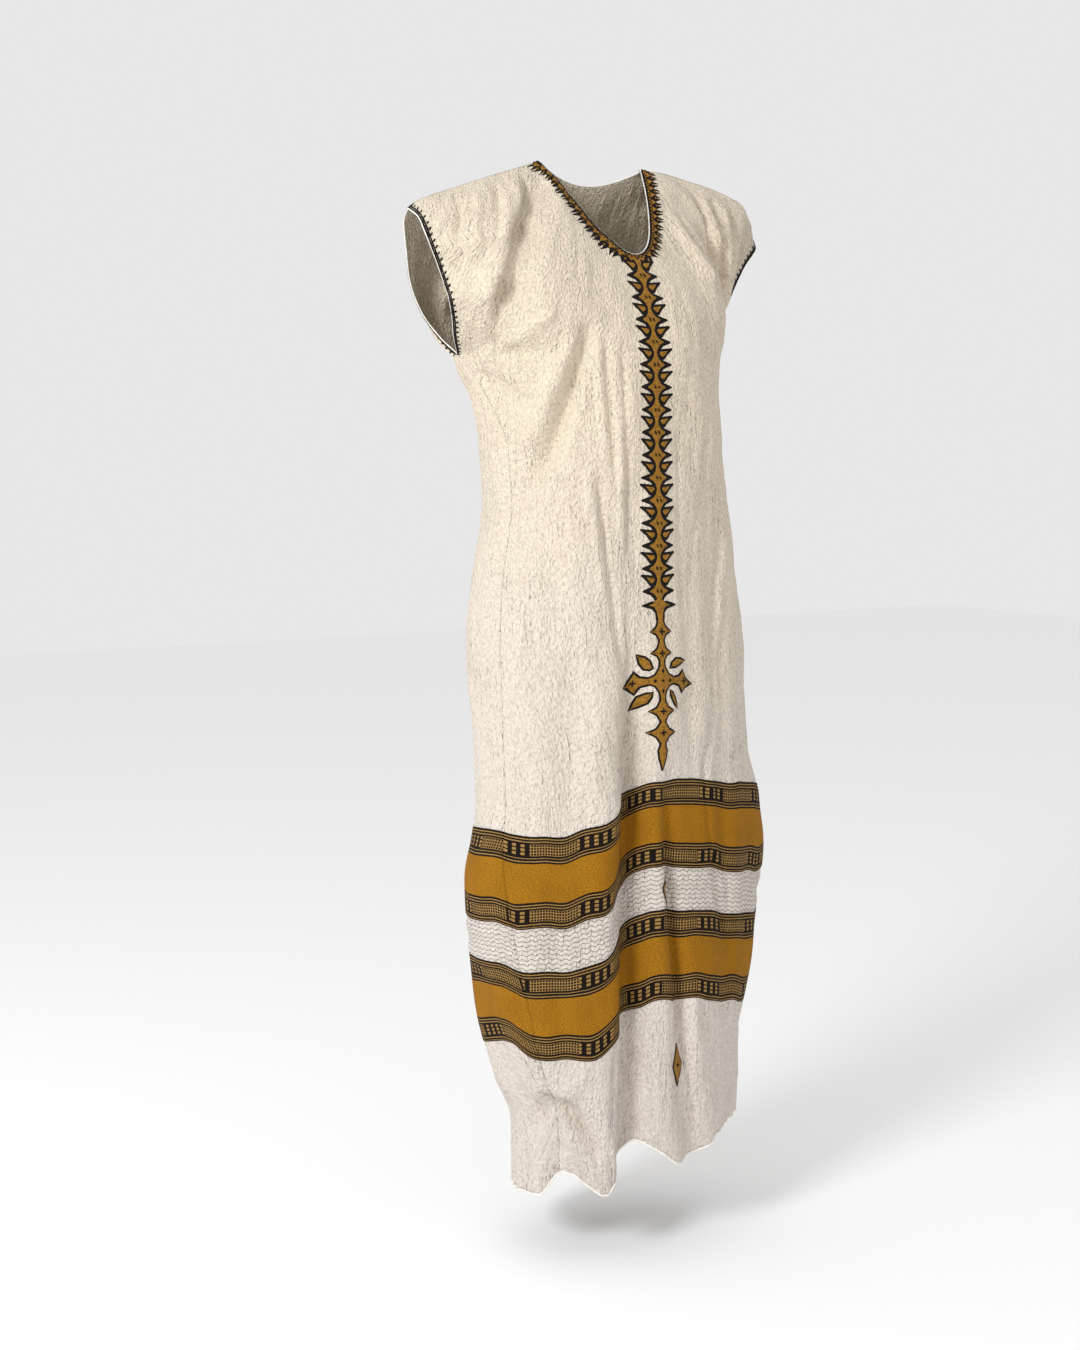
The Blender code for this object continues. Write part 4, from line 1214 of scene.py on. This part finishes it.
def sleeve_paths(front, back):
    """The four edges of the sleeve openings, underarm to shoulder."""
    start = len(weave_levels()) - 1
    rows = np.arange(start, len(front["points"]))
    paths = []
    for panel in (front, back):
        for column, sign in ((0, 1.0), (2 * HALF_COLUMNS, -1.0)):
            path = edge_path(panel, rows, np.full(len(rows), column), 90)
            paths.append((panel, path, sign * panel["side"]))
    return paths


def edge_stitches(front, back, tree, sockets, finish):
    """Feather stitch round the sleeve openings: a double black line with slanted prongs."""
    spots = []
    for panel, path, inward in sleeve_paths(front, back):
        place = edge_places(panel, path, inward)
        length = path[0][-1]
        for depth in (0.0016, 0.0042):
            spots += chain(place, 0.0, length, depth, 0.0034, 0.0006)
        for number in range(round(length / 0.0085)):
            along = (number + 0.5) * 0.0085
            spots += line_stitches(place, (along, 0.0050), (along + 0.0036, 0.0098), 0.0062, 0.0006)
    return stitches("sleeve_stitches", tree, sockets, spots, 0.0052, 0.0026, 0.0014, finish)


def rolled_edges(front, back, finish):
    """White rolled and overcast edges of neckline, sleeves and hem."""
    work = new_work()
    neck_end = HALF_COLUMNS - NECK_COLUMN
    columns = np.arange(HALF_COLUMNS - neck_end, HALF_COLUMNS + neck_end + 1)
    everywhere = np.arange(2 * HALF_COLUMNS + 1)
    for panel in (front, back):
        last = len(panel["points"]) - 1
        for rows, over, count, size in ((last, columns, 120, 0.0009), (0, everywhere, 321, 0.0014)):
            run, points, outs = edge_path(panel, np.full(len(over), rows), over, count)
            uneven = size * (1 + 0.16 * ripple(run / 0.006, run * 0, 71))
            tube(work, (points - outs * 0.0005, outs), uneven, 0)
    for panel, (run, points, outs), inward in sleeve_paths(front, back):
        uneven = 0.0010 * (1 + 0.14 * ripple(run / 0.006, run * 0, 73))
        tube(work, (points - outs * 0.0005, outs), uneven, 0)
    return finished("rolled_edges", work, [finish])


def seam_stitches(front, tree, sockets, finish):
    """Fine white stitches along the side seams."""
    spots = []
    rows = np.arange(1, len(weave_levels()))
    for column, inward in ((0, 1.0), (2 * HALF_COLUMNS, -1.0)):
        path = edge_path(front, rows, np.full(len(rows), column), 300)
        place = edge_places(front, path, inward)
        spots += chain(place, 0.0, path[0][-1], 0.0022, 0.0048, 0.0002)
    return stitches("seam_stitches", tree, sockets, spots, 0.0036, 0.0008, 0.0007, finish)


def dress():
    """Every piece of the dress, with what it stands for."""
    front, back = make_cloth()
    tree, sockets = stitch_tree()
    gauze = gauze_finish()
    borders = (("upper", BORDERS_HEAD), ("lower", LOWER_HEAD))
    woven = {level: border_finish("tibeb_weave_" + level, head) for level, head in borders}
    black = thread_finish("black_embroidery_cotton", "#090605", "#150E0A", 0.75, 0.0)
    ochre = thread_finish("ochre_embroidery_cotton", "#6C4810", "#A27220", 0.60, 0.04)
    white = thread_finish("white_sewing_cotton", "#DDD7CB", "#F4F0E8", 0.80, 0.20)
    threads = [black, ochre]

    everywhere = np.arange(len(front["points"]))
    for panel, name, flat, area in ((front, "front", (0.60, 1.46), 0.65), (back, "back", (0.70, 1.42), 0.72)):
        cloth = shell(name + "_cloth", panel, everywhere, 0.0, GAUZE_THICK, gauze)
        finish_piece(cloth, "cotton_gauze", name + "_panel")
        for level, head in borders:
            border = shell(f"{name}_{level}_weave", panel, border_rows(head), BORDER_LIFT + BORDER_THICK,
                           BORDER_THICK, woven[level])
            finish_piece(border, "woven_border", f"{name}_{level}_border")
    strip, strip_marks = strip_embroidery(front, tree, sockets, threads)
    finish_piece(strip, "embroidery", "centre_strip")
    motifs, motif_marks = motif_embroidery(front, tree, sockets, threads)
    finish_piece(motifs, "embroidery", "cross_motif")
    loose = [strip_marks, motif_marks]
    for panel, name in ((front, "front_neck"), (back, "back_neck")):
        band, line = neck_embroidery(panel, tree, sockets, threads, name + "_embroidery")
        finish_piece(band, "embroidery", name + "_band")
        loose.append(line)
    loose.append(edge_stitches(front, back, tree, sockets, black))
    for piece in loose:
        finish_piece(piece, "embroidery")
    for piece in (rolled_edges(front, back, white), seam_stitches(front, tree, sockets, white)):
        finish_piece(piece, "cotton_gauze")


def finish_piece(piece, slot, *nodes):
    """Ties a piece to the body and hides the solids that it stands for."""
    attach(piece, "root")
    if nodes:
        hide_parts(*nodes)


def floor_finish():
    """Smooth seamless paper: matt white."""
    material, tree, shader = new_finish("studio_paper", "#FAFAFA", 0.9)
    place = node(tree, "ShaderNodeTexCoord").outputs["Object"]
    grain = node(tree, "ShaderNodeTexNoise", {"Vector": place, "Scale": 900.0, "Detail": 1.0}).outputs[0]
    raised = node(tree, "ShaderNodeBump", {"Height": grain, "Distance": 0.0001, "Strength": 0.2}).outputs[0]
    tree.links.new(raised, shader.inputs["Normal"])
    return material


FLOOR_LEVEL = -1.430
LIGHT_PLACE = (-3.1, -1.3, 1.0)
LIGHT_AIM = (0.0, -0.05, -0.6)
LIGHT_WATTS = 88.0


def studio():
    """Plain floor, white surroundings and one large soft light from the upper left."""
    reach = 8.0
    corners = [(x * reach, y * reach, FLOOR_LEVEL) for x, y in ((-1, -1), (1, -1), (1, 1), (-1, 1))]
    floor = piece_from("studio_floor", corners, [(0, 1, 2, 3)], [floor_finish()])
    world = bpy.data.worlds.new("studio")
    world.use_nodes = True
    sky = world.node_tree.nodes["Background"]
    sky.inputs["Strength"].default_value = 0.80
    sky.inputs["Color"].default_value = (1.0, 1.0, 1.0, 1.0)
    bpy.context.scene.world = world
    place = Vector(LIGHT_PLACE)
    data = bpy.data.lights.new("key", "AREA")
    data.shape = "DISK"
    data.size = 1.1
    data.energy = LIGHT_WATTS
    data.color = (0.95, 0.98, 1.0)
    light = bpy.data.objects.new("key", data)
    light.location = place
    light.rotation_mode = "QUATERNION"
    light.rotation_quaternion = (Vector(LIGHT_AIM) - place).to_track_quat("-Z", "Y")
    bpy.context.scene.collection.objects.link(light)
    bpy.context.scene.view_settings.view_transform = "Standard"


# View of the photograph: turn to the right of the front, distance and height of the eye, then the
# focal length, the picture's size and the spot that the eye looks at, all in its pixels
VIEW_TURN = 33.0
VIEW_AWAY = 2.8
EYE_LEVEL = -0.388
FOCAL_LENGTH = 2058.0
PICTURE = (1080.0, 1350.0)
LOOKED_AT = (590.0, 450.0)


def camera():
    """The photograph's view: level, turned to the right of the front."""
    turn = math.radians(VIEW_TURN)
    data = bpy.data.cameras.new("camera")
    data.sensor_width = 36.0
    data.lens = FOCAL_LENGTH / PICTURE[1] * data.sensor_width
    data.shift_x = (PICTURE[0] / 2 - LOOKED_AT[0]) / PICTURE[1]
    data.shift_y = (LOOKED_AT[1] - PICTURE[1] / 2) / PICTURE[1]
    data.clip_end = 50.0
    seen = bpy.data.objects.new("camera", data)
    seen.location = (-VIEW_AWAY * math.sin(turn), -VIEW_AWAY * math.cos(turn), EYE_LEVEL)
    seen.rotation_euler = (math.pi / 2, 0.0, -turn)
    bpy.context.scene.collection.objects.link(seen)
    bpy.context.scene.camera = seen


camera()
studio()
dress()
